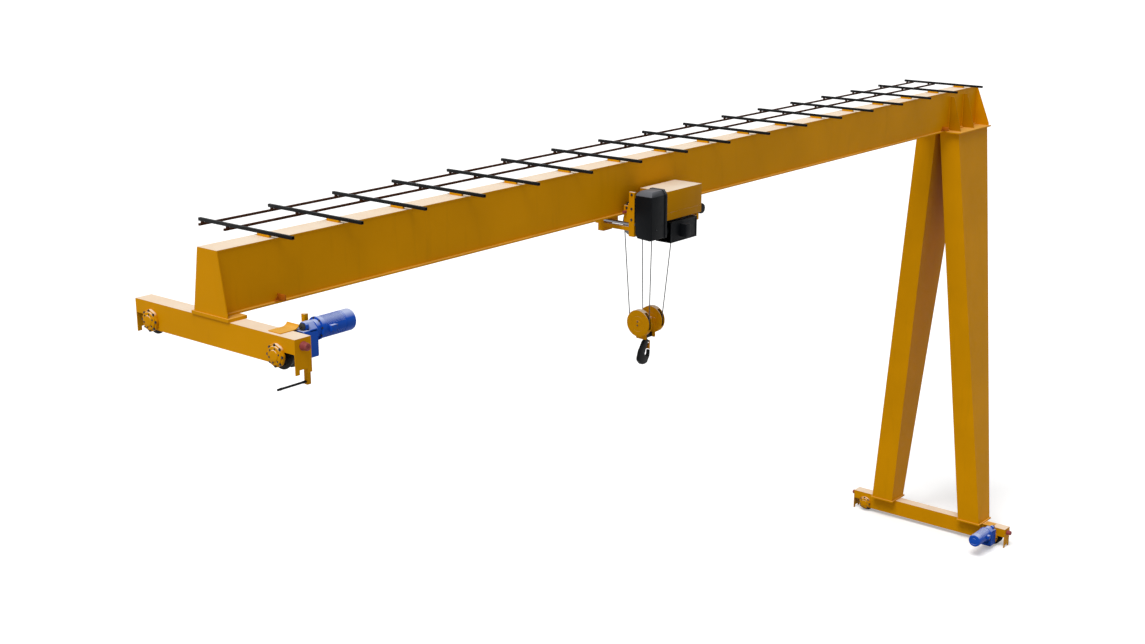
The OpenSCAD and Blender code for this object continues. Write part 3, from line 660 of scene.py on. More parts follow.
def finishes():
    """Makes every finish once and gives them by name."""
    colour = paints()
    yellow, black = tuple(colour.enamel), tuple(colour.hoist)
    return {
        # Each enamel's pale colour on faces that look up is a painted highlight, bluish on the blue and
        # black enamels.
        "enamel": enamel("crane_enamel", yellow),
        "blue": enamel("drive_enamel", tuple(colour.drive), 0.4, 0.6, 0.05, (0.74, 0.80, 0.92), 0.08),
        "plate": enamel("plate_enamel", yellow, top_highlight=0.3, highlight_colour=(0.85, 0.6, 0.24)),
        # Painted shade: the gussets' enamel is darkened to stand for the shade they lie in.
        "gusset": enamel("gusset_enamel", shade(yellow, 0.66), top_highlight=0.1),
        # Painted shade: the cabinet's enamel is darkened all over to stand for the shade on its front.
        "cabinet": enamel("cabinet_enamel", shade(yellow, 0.76)),
        "cover": enamel("gear_enamel", black, 0.42, 0.36, 0.12, (0.42, 0.43, 0.47), 0.06),
        "black": enamel("hoist_enamel", black, 0.42, 0.05, 0.12, (0.3, 0.3, 0.32), 0.06),
        "latch": enamel("latch_enamel", (0.72, 0.30, 0.004), rough=0.36, top_highlight=0.2),
        "iron": matt("sheave_iron", (0.008, 0.008, 0.009), rough=0.6),
        "bars": matt("festoon_bar_paint", tuple(colour.bars), rough=0.5),
        "rails": matt("festoon_rail_primer", tuple(colour.rails), rough=0.7),
        "primer": matt("stop_primer", tuple(colour.primer)),
        "forged": matt("forged_hook_paint", (0.003, 0.0034, 0.0042), rough=0.46),
        "red_rubber": rubber("buffer_rubber", tuple(colour.buffer)),
        "black_rubber": rubber("bush_rubber", (0.02, 0.02, 0.02)),
        "bolts": steel("bolt_steel", (0.06, 0.058, 0.055), rough=0.42, rust=0.3),
        "bright": steel("turned_steel", (0.24, 0.25, 0.29), rough=0.34, rust=0.05),
        "drum": steel("drum_steel", (0.16, 0.155, 0.15), rough=0.42, rust=0.25),
        "wheel": wheel_iron("wheel_iron"),
        "rope": rope_wire("rope_wire"),
    }


FINISHES = {}
CAD_FINISHES = {
    "enamel": (
        "girder_top_plate girder_front_web girder_rear_web runway_end_plate leg_end_plate "
        "front_leg rear_leg base_gussets runway_carriage ground_carriage rail_sweeps "
        "collector_post hoist_end_frames hoist_side_beam wheel_carriers rear_brackets cross_beams "
        "counterweight sheave_beam rope_anchor"
    ),
    "plate": "girder_bottom_flange saddle_plate saddle_pad leg_cap_plate leg_base_plates",
    "gusset": "cap_gussets",
    "rails": "festoon_rails",
    "bright": "cross_rods",
    "iron": "sheave_left sheave_right",
}


class CRANE_OT_steelwork(bpy.types.Operator):
    """Gives the CAD frame's own pieces their finishes"""

    bl_idname = "crane.steelwork"
    bl_label = "Steelwork finishes"

    def execute(self, context):
        FINISHES.update(finishes())
        for look, names in CAD_FINISHES.items():
            for name in names.split():
                wear(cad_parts[name], look)
        return {"FINISHED"}


class CRANE_OT_bearing_caps(bpy.types.Operator):
    """Scalloped bearing caps on both faces of each wheel, with their bolts"""

    bl_idname = "crane.bearing_caps"
    bl_label = "Bearing caps"

    def execute(self, context):
        lobes, crest, valley, flange = 8, 0.125, 0.1195, 0.032
        cover_bolts, points = 6, 96
        depth = -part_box("bearing_caps")[0].x - CARRIAGE_HALF
        cover = -0.008
        outline = []
        for i in range(points):
            angle = i * math.tau / points
            reach = valley + (crest - valley) * (0.5 + 0.5 * math.cos(lobes * angle)) ** 0.6
            outline.append((reach * math.cos(angle), reach * math.sin(angle)))
        plate = rounded(slab(outline, flange), details().edge)
        body = [(0.102, flange - 0.01)]
        body += around(0, depth, (0.102, -0.016), (0.098, -0.011), (0.090, cover), (0.062, cover))
        body += around(0, depth, (0.058, -0.002), (0.050, 0), (0.030, 0))
        places = [
            spot((axle.x + way * CARRIAGE_HALF, axle.y, axle.z), turn)
            for axle in WHEELS.values()
            for way, turn in ((1, TO_X), (-1, TO_MINUS_X))
        ]
        caps = repeat(join(plate, turned(body)), places)
        finish(caps, "bearing_housings", "crane", "enamel", ("bearing_caps",))
        outer = repeat(bolt(0.0115, 0.011), ring_of(lobes, 0.1125, flange))
        inner = repeat(bolt(0.0075, 0.0065), ring_of(cover_bolts, 0.077, depth + cover, 0.3))
        finish(repeat(join(outer, inner), places), "bearing_bolts", "crane", "bolts")
        return {"FINISHED"}


def mark_tread(wheel, reach, half):
    """Marks a wheel's tread for its finish, by the distance from the axle and from the middle."""
    mark = wheel.data.attributes.new("tread", "FLOAT", "POINT")
    for point in wheel.data.vertices:
        on_tread = math.hypot(point.co.x, point.co.y) > reach and abs(point.co.z) < half
        mark.data[point.index].value = float(on_tread)


class CRANE_OT_travel_wheels(bpy.types.Operator):
    """Flanged travel wheels with their hubs and shafts"""

    bl_idname = "crane.travel_wheels"
    bl_label = "Travel wheels"

    def execute(self, context):
        low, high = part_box("runway_wheel_near")
        shaft = (high.x - low.x) / 2
        flange = (high.z - low.z) / 2
        tread = 0.140
        side = [(0.028, -shaft), (0.032, -shaft + 0.004), (0.032, -0.092), (0.052, -0.092)]
        side += [(0.057, -0.087), (0.060, -0.052), (0.072, -0.046), (0.108, -0.046), (0.118, -0.059)]
        side += around(flange, 0, (-0.006, -0.060), (0, -0.056), (0, -0.046), (-0.004, -0.042))
        side += [(tread + 0.0025, -0.039), (tread, -0.036)]
        wheel = turned(both_sides(side), sides=64)
        mark_tread(wheel, tread - 0.010, 0.045)
        for name, axle in WHEELS.items():
            twin = place(twin_of(wheel), axle, TO_X)
            finish(twin, name.replace("wheel", "travel_wheel"), WHEEL_BODIES[name], "wheel", (name,))
        bpy.data.objects.remove(wheel)
        return {"FINISHED"}


class CRANE_OT_buffers(bpy.types.Operator):
    """Rubber buffers on the carriages and on the trolley"""

    bl_idname = "crane.buffers"
    bl_label = "Buffers"

    def execute(self, context):
        self.buffers("end_buffers", "crane", "y", TO_Y, TO_MINUS_Y)
        self.buffers("trolley_buffers", "trolley", "x", TO_X, TO_MINUS_X)
        return {"FINISHED"}

    def buffers(self, node, body, axis, onward, back):
        boxes = solids(node)
        low, high = boxes[0]
        foot = (high.z - low.z) / 2
        width, length = foot * 0.9, getattr(high - low, axis)
        profile = [(foot, 0), (foot, 0.14), (foot - 0.003, 0.18), (width, 0.22), (width * 0.985, 0.5)]
        profile += [(width * 0.94, 0.86), (width * 0.88, 0.95), (width * 0.78, 1), (width * 0.34, 1)]
        profile += [(width * 0.30, 0.93), (width * 0.12, 0.93)]
        shape = turned([(radius, share * length) for radius, share in profile])
        centre_line = sum(getattr(middle(box), axis) for box in boxes) / len(boxes)
        places = []
        for box in boxes:
            centre = middle(box)
            points_on = getattr(centre, axis) > centre_line
            setattr(centre, axis, getattr(box[0] if points_on else box[1], axis))
            places.append(spot(centre, onward if points_on else back))
        finish(repeat(shape, places), f"rubber_{node}", body, "red_rubber", (node,))


def drive_places(rise):
    """For the two travel drives: the places of the gearboxes and those of the motors."""
    boxes = solids("drive_gearboxes")
    runway, ground = boxes[0], boxes[-1]
    rows = (
        (WHEELS["runway_wheel_near"], runway[0].x, runway[1].x, TO_X),
        (WHEELS["ground_wheel_near"], ground[1].x, ground[0].x, TO_MINUS_X @ MIRROR_X),
    )
    cases = [spot((near, axle.y, axle.z), turn) for axle, near, far, turn in rows]
    motors = [spot((far, axle.y, axle.z + rise), turn) for axle, near, far, turn in rows]
    return cases, motors


class CRANE_OT_travel_drives(bpy.types.Operator):
    """Flat gearboxes and motors of the two travel drives"""

    bl_idname = "crane.travel_drives"
    bl_label = "Travel drives"

    def execute(self, context):
        motor_rise = 0.168
        cases, motors = drive_places(motor_rise)
        self.gearbox(motor_rise, cases)
        self.motor(motors)
        return {"FINISHED"}

    def gearbox(self, motor_rise, places):
        low, high = solids("drive_gearboxes")[0]
        radius = (high.y - low.y) / 2
        top = motor_rise + radius
        thick = high.x - low.x
        step, chamfer, split, lip, soft = 0.199, 0.070, 0.085, 0.003, 0.008
        bush_x, bush_y, bush_z, bush_half = -0.047, top - 0.028, 0.012, 0.020
        low_case = slab([(-radius, -radius), (radius, -radius), (radius, step), (-radius, step)], thick)
        high_case = slab(chamfered(-radius, 0.1, radius, top, chamfer), thick - split)
        hub = [(0.062, -0.018), (0.062, -0.004), (0.056, 0), (0.040, 0), (0.036, -0.006), (0.02, -0.006)]
        lug = slab(arc(0.045, [45 * i + 22.5 for i in range(8)]), 0.040)
        rib = rounded(slab(chamfered(-radius - lip, -radius, radius + lip, step, 0.01), 0.012), 0.003)
        gearbox = join(
            rounded(low_case, soft, 3),
            place(rounded(high_case, soft, 3), (0, 0, split)),
            place(turned(hub, 32), (0, 0, thick)),
            place(rounded(lug, 0.005), (bush_x, bush_y, 0.050)),
            repeat(rib, [shift(0, 0, 0), shift(0, 0, thick - 0.014)]),
        )
        finish(repeat(gearbox, places), "travel_gearboxes", "crane", "blue", ("drive_gearboxes",))

        bush = both_sides([(0.020, -bush_half), *around(0.035, -bush_half, (-0.004, 0.001), (0, 0.004))])
        bush = place(turned(bush, 32), (bush_x, bush_y, bush_z + bush_half))
        finish(repeat(bush, places), "torque_bushes", "crane", "black_rubber")

        reach = radius - 0.018
        upper = [(-reach, 0.195), (reach, 0.195), (0.030, top - 0.018), (reach - 0.030, top - 0.045)]
        lower = [(-reach, -reach), (reach, -reach), (-reach, 0.03), (reach, 0.03)]
        heads = [spot((bush_x, bush_y, bush_z), UPSIDE_DOWN)]
        heads += [spot((x, y, split), UPSIDE_DOWN) for x, y in upper]
        heads += [shift(x, y, thick) for x, y in lower]
        bolts = repeat(bolt(0.0085, 0.008), heads)
        finish(repeat(bolts, places), "travel_gearbox_bolts", "crane", "bolts")

    def motor(self, places):
        """Neck, flange ring, finned shell, end bells and fan cover, along Z from the gearbox."""
        low, high = solids("drive_motors")[0]
        length = high.x - low.x
        shell_r = (high.z - low.z) / 2 - 0.007
        ring_r, neck_r, neck = shell_r + 0.007, shell_r - 0.020, 0.070
        bell, fan = neck + 0.040, length - 0.150
        shell = around(neck_r, 0, (-0.006, 0), (0, 0.004), (0, neck - 0.017))
        shell += around(ring_r, neck, (-0.003, -0.016), (0, -0.013), (0, -0.002), (-0.009, 0))
        shell += around(shell_r, bell, (0, -0.034), (0, 0), (-0.003, 0.003))
        shell += around(shell_r, fan, (-0.003, 0), (0, 0.003), (0, 0.012), (-0.004, 0.014), (0, 0.016))
        shell += around(shell_r, length, (0, -0.024), (-0.004, -0.010), (-0.014, -0.002), (-0.022, 0))
        shell += around(shell_r, length, (-0.040, 0), (-0.044, -0.004))
        shell += around(0, length, (0.050, -0.004), (0.046, 0), (0.020, 0))
        shell = turned(shell, sides=72)

        fin_half, fin_spread, count = 0.0022, 132, details().fins // 2
        fin_low = (shell_r - 0.012, -fin_half, bell + 0.008)
        fin_high = (shell_r - 0.0005, fin_half, fan - 0.004)
        turns = [math.radians(fin_spread * (i / (count - 1) - 0.5)) for i in range(count)]
        sides = (math.pi / 2, -math.pi / 2)
        fins = [Matrix.Rotation(turn + side, 4, "Z") for turn in turns for side in sides]
        fins = repeat(soft_block(fin_low, fin_high, 0.001, 1), fins)

        box_reach, half, box_low, box_high = shell_r + 0.038, 0.035, neck + 0.075, neck + 0.155
        box = block((0.008 - box_reach, -half, box_low), (0.022 - shell_r, half, box_high))
        lip = 0.003
        lid_low = (-box_reach, -half - lip, box_low - lip)
        lid_high = (0.007 - box_reach, half + lip, box_high + lip)
        gland = turned([(0.012, 0), (0.012, 0.014), (0.009, 0.018), (0.009, 0.024)], 12)
        place(gland, (0.03 - box_reach, 0.001 - half, box_low + 0.045), TO_MINUS_Y)
        lid = soft_block(lid_low, lid_high, 0.002)
        motor = join(shell, fins, rounded(box, details().edge), lid, gland)
        finish(repeat(motor, places), "travel_motors", "crane", "blue", ("drive_motors",))

        ring = repeat(bolt(0.009, 0.008), ring_of(8, shell_r - 0.006, 0, 0.2))
        ring = repeat(ring, [spot((0, 0, neck - 0.017), UPSIDE_DOWN)])
        inset = 0.008
        screws = [
            spot((-box_reach, y, z), SCREW_TO_MINUS_X)
            for y in (inset - half, half - inset)
            for z in (box_low + inset, box_high - inset)
        ]
        bolts = join(ring, repeat(bolt(0.0045, 0.004), screws))
        finish(repeat(bolts, places), "travel_motor_bolts", "crane", "bolts")


class CRANE_OT_torque_plates(bpy.types.Operator):
    """Bent torque plates on the carriages"""

    bl_idname = "crane.torque_plates"
    bl_label = "Torque plates"

    def execute(self, context):
        thick, bend, flat = 0.010, 0.090, 0.185
        sweep, steps = 60, 14
        degrees = [sweep * i / steps - 90 for i in range(steps + 1)]
        outer = arc(bend, degrees, (flat, bend))
        inner = arc(bend - thick, reversed(degrees), (flat, bend))
        outline = [(0, 0), *outer, *inner, (0, thick)]
        boxes = solids("torque_plates")
        plates = []
        for (low, high), way in zip((boxes[0], boxes[-1]), (1, -1)):
            start = low.x if way > 0 else high.x
            turn = TO_MINUS_Y if way > 0 else MIRROR_X @ TO_MINUS_Y
            plate = rounded(slab(outline, high.y - low.y), 0.002, 2, 40)
            plates.append(repeat(plate, [spot((start, high.y, low.z), turn)]))
        finish(join(*plates), "bent_torque_plates", "crane", "plate", ("torque_plates",))
        return {"FINISHED"}


class CRANE_OT_collector(bpy.types.Operator):
    """Rod of the current collector on its post"""

    bl_idname = "crane.collector"
    bl_label = "Collector rod"

    def execute(self, context):
        low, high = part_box("collector_rod")
        ring = (high.z - low.z) / 2
        bar = ring * 0.86
        length = high.x - low.x
        profile = [(ring * 0.7, 0), (bar, 0.002), (bar, 0.03), (ring, 0.033), (ring, 0.060), (bar, 0.063)]
        profile += around(0, length, (bar, -0.046), (ring, -0.043), (ring, -0.004), (ring * 0.9, 0))
        collector = turned(profile, 24)
        place(collector, (low.x, *middle((low, high)).yz), TO_X)
        finish(collector, "collector_bar", "crane", "bars", ("collector_rod",))
        return {"FINISHED"}


class CRANE_OT_festoon(bpy.types.Operator):
    """Cross bars of square tube with open ends, and their pads"""

    bl_idname = "crane.festoon"
    bl_label = "Festoon support"

    def execute(self, context):
        wall, bore, pad_half = 0.003, 0.12, 0.1
        bars = solids("festoon_arms")
        low, high = bars[0]
        side = high.x - low.x
        tube_low = high.z - side
        tube = block((-side / 2, low.y, tube_low), (side / 2, high.y, high.z))
        tube = facing(tube, lambda normal: abs(normal.y) > 0.9, depth=-bore, inset=wall)
        places = [shift(middle(box).x, 0, 0) for box in bars]
        tubes = repeat(rounded(tube, 0.003, 2, 50), places)
        finish(tubes, "festoon_cross_bars", "crane", "bars", ("festoon_arms",))
        pad_low, pad_high = (-side / 2, -pad_half, GIRDER_TOP), (side / 2, pad_half, tube_low + 0.001)
        finish(repeat(soft_block(pad_low, pad_high, 0.002, 1), places), "festoon_pads", "crane", "plate")
        return {"FINISHED"}


class CRANE_OT_end_stops(bpy.types.Operator):
    """Primed end stops of the trolley's travel"""

    bl_idname = "crane.end_stops"
    bl_label = "Trolley end stops"

    def execute(self, context):
        foot_wide, foot_thick, plate = 0.034, 0.012, 0.010
        gusset_base, gusset_tip, gusset_high = 0.056, 0.008, 0.060
        seat = foot_thick - 0.001
        base = [(-gusset_base, seat), (gusset_base, seat)]
        gusset_outline = [*base, (gusset_tip, gusset_high), (-gusset_tip, gusset_high)]
        stops = []
        for low, high in solids("trolley_end_stops"):
            side = 1 if low.y > 0 else -1
            near, far = sorted((abs(low.y), abs(high.y)))
            centre = (low.x + high.x) / 2
            foot_high = (high.x, near + foot_wide, low.z + foot_thick)
            foot = soft_block((low.x, near, low.z), foot_high, 0.002, 1)
            upright_low = (centre - plate, near, low.z + seat)
            upright = soft_block(upright_low, (centre + plate, far, high.z), 0.003)
            gusset = place(slab(gusset_outline, plate), (centre, near + 0.012, low.z), TO_MINUS_Y)
            stops.append(repeat(join(foot, upright, gusset), [Matrix.Scale(side, 4, (0, 1, 0))]))
        finish(join(*stops), "primed_end_stops", "crane", "primer", ("trolley_end_stops",))
        return {"FINISHED"}


class CRANE_OT_hoist(bpy.types.Operator):
    """Hoist gearbox, motor, control cabinet, drum and travel drive on the trolley"""

    bl_idname = "crane.hoist"
    bl_label = "Hoist"

    def execute(self, context):
        self.gearbox()
        self.motor()
        self.cabinet()
        self.travel_drive()
        self.drum()
        return {"FINISHED"}

    def gearbox(self):
        low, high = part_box("hoist_gearbox")
        inner, out, bottom, top = FRAME_FACE - 0.018, low.y, low.z, high.z
        rim_deep, shy, past = 0.046, 0.004, 0.01
        outline = around(inner, bottom, (0, 0.07), (-0.032, 0.015))
        outline += around(out, bottom, (0.04, 0), (0, 0.01)) + around(out, top, (0, -0.067), (0.05, 0))
        outline += around(inner, top, (-0.035, 0), (0, -0.032))
        mean_y, mean_z = (sum(values) / len(outline) for values in zip(*outline))
        cover = [
            (y + math.copysign(shy, mean_y - y), z + math.copysign(shy, mean_z - z)) for y, z in outline
        ]
        cover = rounded(slab(cover, high.x - low.x - 0.02), 0.006, 2, 20)
        place(cover, (low.x, 0, 0), TO_X)
        slope = around(low.x, top, (-past, -0.075), (0.085, past), (-past, past))
        slope = place(slab(slope, 0.5), (0, inner + 0.05, 0), TO_MINUS_Y)
        side = around(low.x, out, (-past, 0.022), (-past, -past), (0.022, -past))
        side = place(slab(side, 1.0), (0, 0, bottom - 0.1))
        cover = rounded(cut(cover, slope, side), 0.002, 1, 25)
        rim = [(y + math.copysign(shy, y - mean_y), z + 0.003 * (z > mean_z)) for y, z in outline]
        rim = place(rounded(slab(rim, rim_deep), 0.002), (high.x - rim_deep, 0, 0), TO_X)
        flange_low = (low.x + 0.010, inner - 0.008, GIRDER_LOW.z - 0.08)
        flange_high = (low.x + 0.040, FRAME_FACE, GIRDER_LOW.z + 0.26)
        plug = turned([(0.014, 0), (0.014, 0.007), (0.010, 0.010), (0.004, 0.010)], 6)
        place(plug, (low.x + 0.11, out + 0.006, bottom + 0.14), TO_MINUS_Y)
        gearbox = join(cover, rim, soft_block(flange_low, flange_high, 0.003), plug)
        finish(gearbox, "hoist_gear_case", "trolley", "cover", ("hoist_gearbox",))
        levels = (bottom + 0.06, bottom + 0.22, bottom + 0.38, top - 0.10)
        heads = [spot((high.x - rim_deep / 2, out + 0.001, z), TO_MINUS_Y) for z in levels]
        finish(repeat(bolt(0.009, 0.008), heads), "hoist_gear_bolts", "trolley", "black")

    def motor(self):
        low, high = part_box("hoist_motor")
        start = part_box("hoist_gearbox")[1].x
        body_x, face_y = start + 0.100, low.y + 0.100
        shy, ring, rail, soft = 0.005, 0.026, 0.022, 0.004
        shell = soft_block((body_x, face_y + shy, low.z + shy), (high.x, high.y, high.z - shy), 0.005)
        rings = [
            soft_block((x, face_y, low.z), (x + ring, high.y, high.z), soft)
            for x in (body_x, high.x - ring)
        ]
        rails = [
            soft_block((body_x + soft, face_y, z), (high.x - soft, face_y + 0.02, z + rail), soft)
            for z in (low.z, high.z - rail)
        ]
        box_low = (body_x + 0.220, low.y, low.z + 0.058)
        box_high = (body_x + 0.335, face_y + 0.01, high.z - 0.044)
        neck_y, neck_z = (face_y + high.y) / 2 - 0.03, (low.z + high.z) / 2 + 0.02
        neck = rod((start - 0.01, neck_y, neck_z), (body_x + 0.01, neck_y, neck_z), 0.062, 32)
        motor = join(shell, *rings, *rails, soft_block(box_low, box_high, 0.010, 3), neck)
        finish(motor, "hoist_motor_case", "trolley", "black", ("hoist_motor",))

    def cabinet(self):
        low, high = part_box("hoist_cabinet")
        inner, shelf = low.y + 0.130, high.z - 0.106
        seam_low, seam_wide, seam_deep, past = low.z + 0.105, 0.005, 0.003, 0.01
        seam_high = seam_low + seam_wide
        outline = [(low.y, low.z), (inner, low.z), (inner, shelf), (high.y, shelf)]
        outline += [(high.y, high.z), (low.y, high.z)]
        body = place(rounded(slab(outline, high.x - low.x), 0.005), (low.x, 0, 0), TO_X)
        front, outer = low.y - past, high.x + past
        body = cut(
            body,
            block((low.x - past, front, seam_low), (outer, low.y + seam_deep, seam_high)),
            block((high.x - seam_deep, front, seam_low), (outer, inner + past, seam_high)),
        )
        finish(body, "control_cabinet", "trolley", "cabinet", ("hoist_cabinet",))

    def travel_drive(self):
        low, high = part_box("trolley_drive")
        front, cap, shell = high.y - 0.034, 0.075, 0.075 * 0.97
        length = front - low.y
        centre_x, centre_z = TROLLEY_HIGH.x - 0.200, GIRDER_LOW.z - 0.065
        case = rounded(slab(chamfered(low.x, low.z, high.x, high.z, 0.045), high.y - front), 0.006)
        place(case, (0, high.y, 0), TO_MINUS_Y)
        profile = [(cap * 0.9, 0), (cap, 0.004), (cap, 0.020), (cap * 0.86, 0.024)]
        profile += [(cap * 0.86, length * 0.30), (shell, length * 0.32), (shell, length * 0.72)]
        profile += [(cap, length * 0.74), (cap, length - 0.02), (cap * 0.92, length - 0.004)]
        profile += [(cap * 0.8, length), (cap * 0.3, length)]
        motor = turned(profile, 40)
        place(motor, (centre_x, front, centre_z), TO_MINUS_Y)
        finish(join(case, motor), "trolley_travel_drive", "trolley", "black", ("trolley_drive",))

    def drum(self):
        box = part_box("rope_drum")
        start, centre = box[0].x, middle(box)
        drum_r = (box[1].z - box[0].z) / 2
        rim_r, length, pitch, shaft_r, wound_share = drum_r + 0.007, 0.860, 0.016, 0.035, 0.55
        grooves = int((length - 0.050) / pitch)
        profile = [(drum_r - 0.012, 0), (rim_r, 0.002), (rim_r, 0.020)]
        for i in range(grooves):
            z = 0.022 + i * pitch
            wound = i < grooves * wound_share
            crest = drum_r + (0.0135 if wound else -0.001)
            valley = drum_r + (0.004 if wound else -0.006)
            flank = crest - 0.003 * wound
            flanks = ((valley, 0), (flank, pitch / 4), (crest, pitch / 2), (flank, pitch * 0.75))
            profile += around(0, z, *flanks)
        profile += around(0, length, (rim_r, -0.024), (rim_r, -0.003), (drum_r - 0.004, 0), (0.06, 0))
        profile += [(shaft_r, length + 0.002), (shaft_r, TROLLEY_HIGH.x - 0.040 - start)]
        drum = place(turned(profile), (start, centre.y, centre.z), TO_X)
        finish(drum, "grooved_drum", "trolley", "drum", ("rope_drum",))


class CRANE_OT_trolley_wheels(bpy.types.Operator):
    """Trolley wheels, the upper sheave and the bolts of the trolley's frame"""

    bl_idname = "crane.trolley_wheels"
    bl_label = "Trolley wheels and bolts"

    def execute(self, context):
        wheels = [self.wheel(*box) for box in solids("trolley_wheels")]
        finish(join(*wheels), "flanged_trolley_wheels", "trolley", "wheel", ("trolley_wheels",))
        self.sheave()
        y = (FRAME_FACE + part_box("wheel_carriers")[0].y) / 2
        heads = [
            spot((TROLLEY_LOW.x, at, GIRDER_LOW.z + rise), TO_MINUS_X)
            for at, rise in ((y, 0.299), (y, 0.104), (y, -0.046), (y + 0.084, 0.110))
        ]
        rises = (0.200, -0.046, -0.240)
        heads += [spot((TROLLEY_HIGH.x, y, GIRDER_LOW.z + rise), TO_X) for rise in rises]
        finish(repeat(bolt(details().bolt, 0.011), heads), "end_frame_bolts", "trolley", "bolts")
        return {"FINISHED"}

    def wheel(self, low, high):
        centre = middle((low, high))
        flange, tread, pin = (high.z - low.z) / 2, 0.070, 0.015
        profile = [(0.040, 0.0), (0.044, 0.002), (tread - 0.006, 0.002), (tread, 0.006), (tread, 0.030)]
        profile += around(flange, 0, (-0.002, 0.035), (0, 0.037), (0, 0.042), (-0.003, 0.044))
        profile += [(0.034, 0.044), (0.030, 0.052), (pin, 0.052), (pin, high.y - low.y)]
        wheel = turned(profile)
        mark_tread(wheel, tread - 0.004, 0.034)
        if centre.y > 0:
            return place(wheel, (centre.x, low.y, centre.z), TO_Y)
        return place(wheel, (centre.x, high.y, centre.z), TO_MINUS_Y)

    def sheave(self):
        low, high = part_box("upper_sheave")
        rim = (high.z - low.z) / 2
        rope = rim - 0.012
        side = [(0.015, -0.037), (0.015, -0.024), (0.050, -0.022), (0.054, -0.012)]
        side += around(rim, 0, (-0.048, -0.010), (-0.034, -0.021), (-0.004, -0.021), (0, -0.016))
        side += around(rope, 0, (-0.004, -0.0075), (-0.0072, -0.004))
        sheave = place(turned(both_sides(side), 64), middle((low, high)), TO_Y)
        finish(sheave, "upper_rope_sheave", "trolley", "drum", ("upper_sheave",))


def leaning(low, high, centre_line, inset):
    """Where a fall that leans away from a centre line has its foot and its head."""
    if (low + high) / 2 < centre_line:
        return high - inset, low + inset
    return low + inset, high - inset


class CRANE_OT_ropes(bpy.types.Operator):
    """Four taut falls of wire rope between the trolley and the hook block"""

    bl_idname = "crane.ropes"
    bl_label = "Hoist ropes"

    def execute(self, context):
        radius = 0.007
        boxes = solids("hoist_ropes")
        falls = []
        for low, high in boxes:
            foot_x, head_x = leaning(low.x, high.x, HOOK_X, radius)
            foot_y, head_y = leaning(low.y, high.y, 0, radius)
            foot, head = Vector((foot_x, foot_y, low.z)), Vector((head_x, head_y, high.z))
            falls.append(self.fall(foot, head, radius))
        ropes = join(*falls)
        finish(ropes, "wire_ropes", None, "rope", ("hoist_ropes",))
        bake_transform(ropes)
        return {"FINISHED"}

    def fall(self, foot, head, radius):
        """A rope whose UV map goes once round it across and once a strand pitch along."""
        rope = rod(foot, head, radius, 12)
        uv = rope.data.uv_layers.active.data
        way = (head - foot).normalized()
        side = way.orthogonal().normalized()
        other = way.cross(side)
        for face in rope.data.polygons:
            points = [rope.data.vertices[i].co - foot for i in face.vertices]
            angles = [math.atan2(point.dot(other), point.dot(side)) / math.tau for point in points]
            over_seam = max(angles) - min(angles) > 0.5
            for loop, angle, point in zip(face.loop_indices, angles, points):
                around = angle + 1 if over_seam and angle < 0 else angle
                uv[loop].uv = (around, point.dot(way) / details().strand)
        return rope


class CRANE_OT_hook_block(bpy.types.Operator):
    """Hook block: covered sheaves, straps and crosshead"""

    bl_idname = "crane.hook_block"
    bl_label = "Hook block"

    def execute(self, context):
        low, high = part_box("hook_block")
        left, right = middle(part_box("sheave_left")), middle(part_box("sheave_right"))
        centre_z, half_gap = left.z, (right.x - left.x) / 2
        wide, plate, outer = 0.090, 0.010, HOOK_X - low.x
        strap_x = half_gap - wide / 2
        cover = self.cover(high.z - centre_z, wide / 2)
        covers = repeat(cover, [shift(HOOK_X + side * half_gap, 0, centre_z) for side in (-1, 1)])
        strap = slab(chamfered(-0.093, centre_z - 0.250, 0.093, centre_z + 0.040, 0.012), plate)
        straps = [spot((HOOK_X + x, 0, 0), TO_X) for x in (-strap_x, strap_x - plate)]
        straps = repeat(rounded(strap, 0.002), straps)
        pin = turned(both_sides([(0.040, -outer), (0.046, -outer + 0.004)]), 40)
        place(pin, (HOOK_X, 0, centre_z), TO_X)
        finish(join(covers, pin, straps), "sheave_covers", "hook_block", "enamel", ("hook_block",))

        half_x, half_y, top, high_z = strap_x - plate, 0.045, centre_z - 0.175, 0.070
        beam_low, beam_high = (HOOK_X - half_x, -half_y, top - high_z), (HOOK_X + half_x, half_y, top)
        finish(soft_block(beam_low, beam_high, 0.008, 3), "block_crosshead", "hook_block", "forged")
        heads = [
            spot((HOOK_X + side * outer, 0, centre_z + z), turn)
            for side, turn in ((-1, TO_MINUS_X), (1, TO_X))
            for z in (0.026, -0.026)
        ]
        finish(repeat(bolt(0.0085, 0.006), heads), "cover_bolts", "hook_block", "bolts")
        return {"FINISHED"}

    def cover(self, radius, half):
        """A hollow disc along X with a shallow ring on its faces and a rope slot on each side."""
        past, slot_half, groove = 0.02, 0.027, 0.0015
        side = around(0, -half, (0.060, 0), (0.104, 0), (0.106, groove), (0.114, groove), (0.116, 0))
        side += around(radius, -half, (-0.010, 0), (-0.003, 0.003), (0, 0.010))
        shell = turned(both_sides(side), 96)
        shell = cut(shell, turned(both_sides([(radius - 0.005, 0.006 - half)]), 96))
        place(shell, (0, 0, 0), TO_X)
        for way in (-1, 1):
            slot_low = (way * 0.105, -slot_half, -0.078)
            slot = block(slot_low, (way * (radius + past), slot_half, radius + past))
            shell = cut(shell, outward(place(slot, (0, 0, 0), SWAP_X_Y)))
        return shell


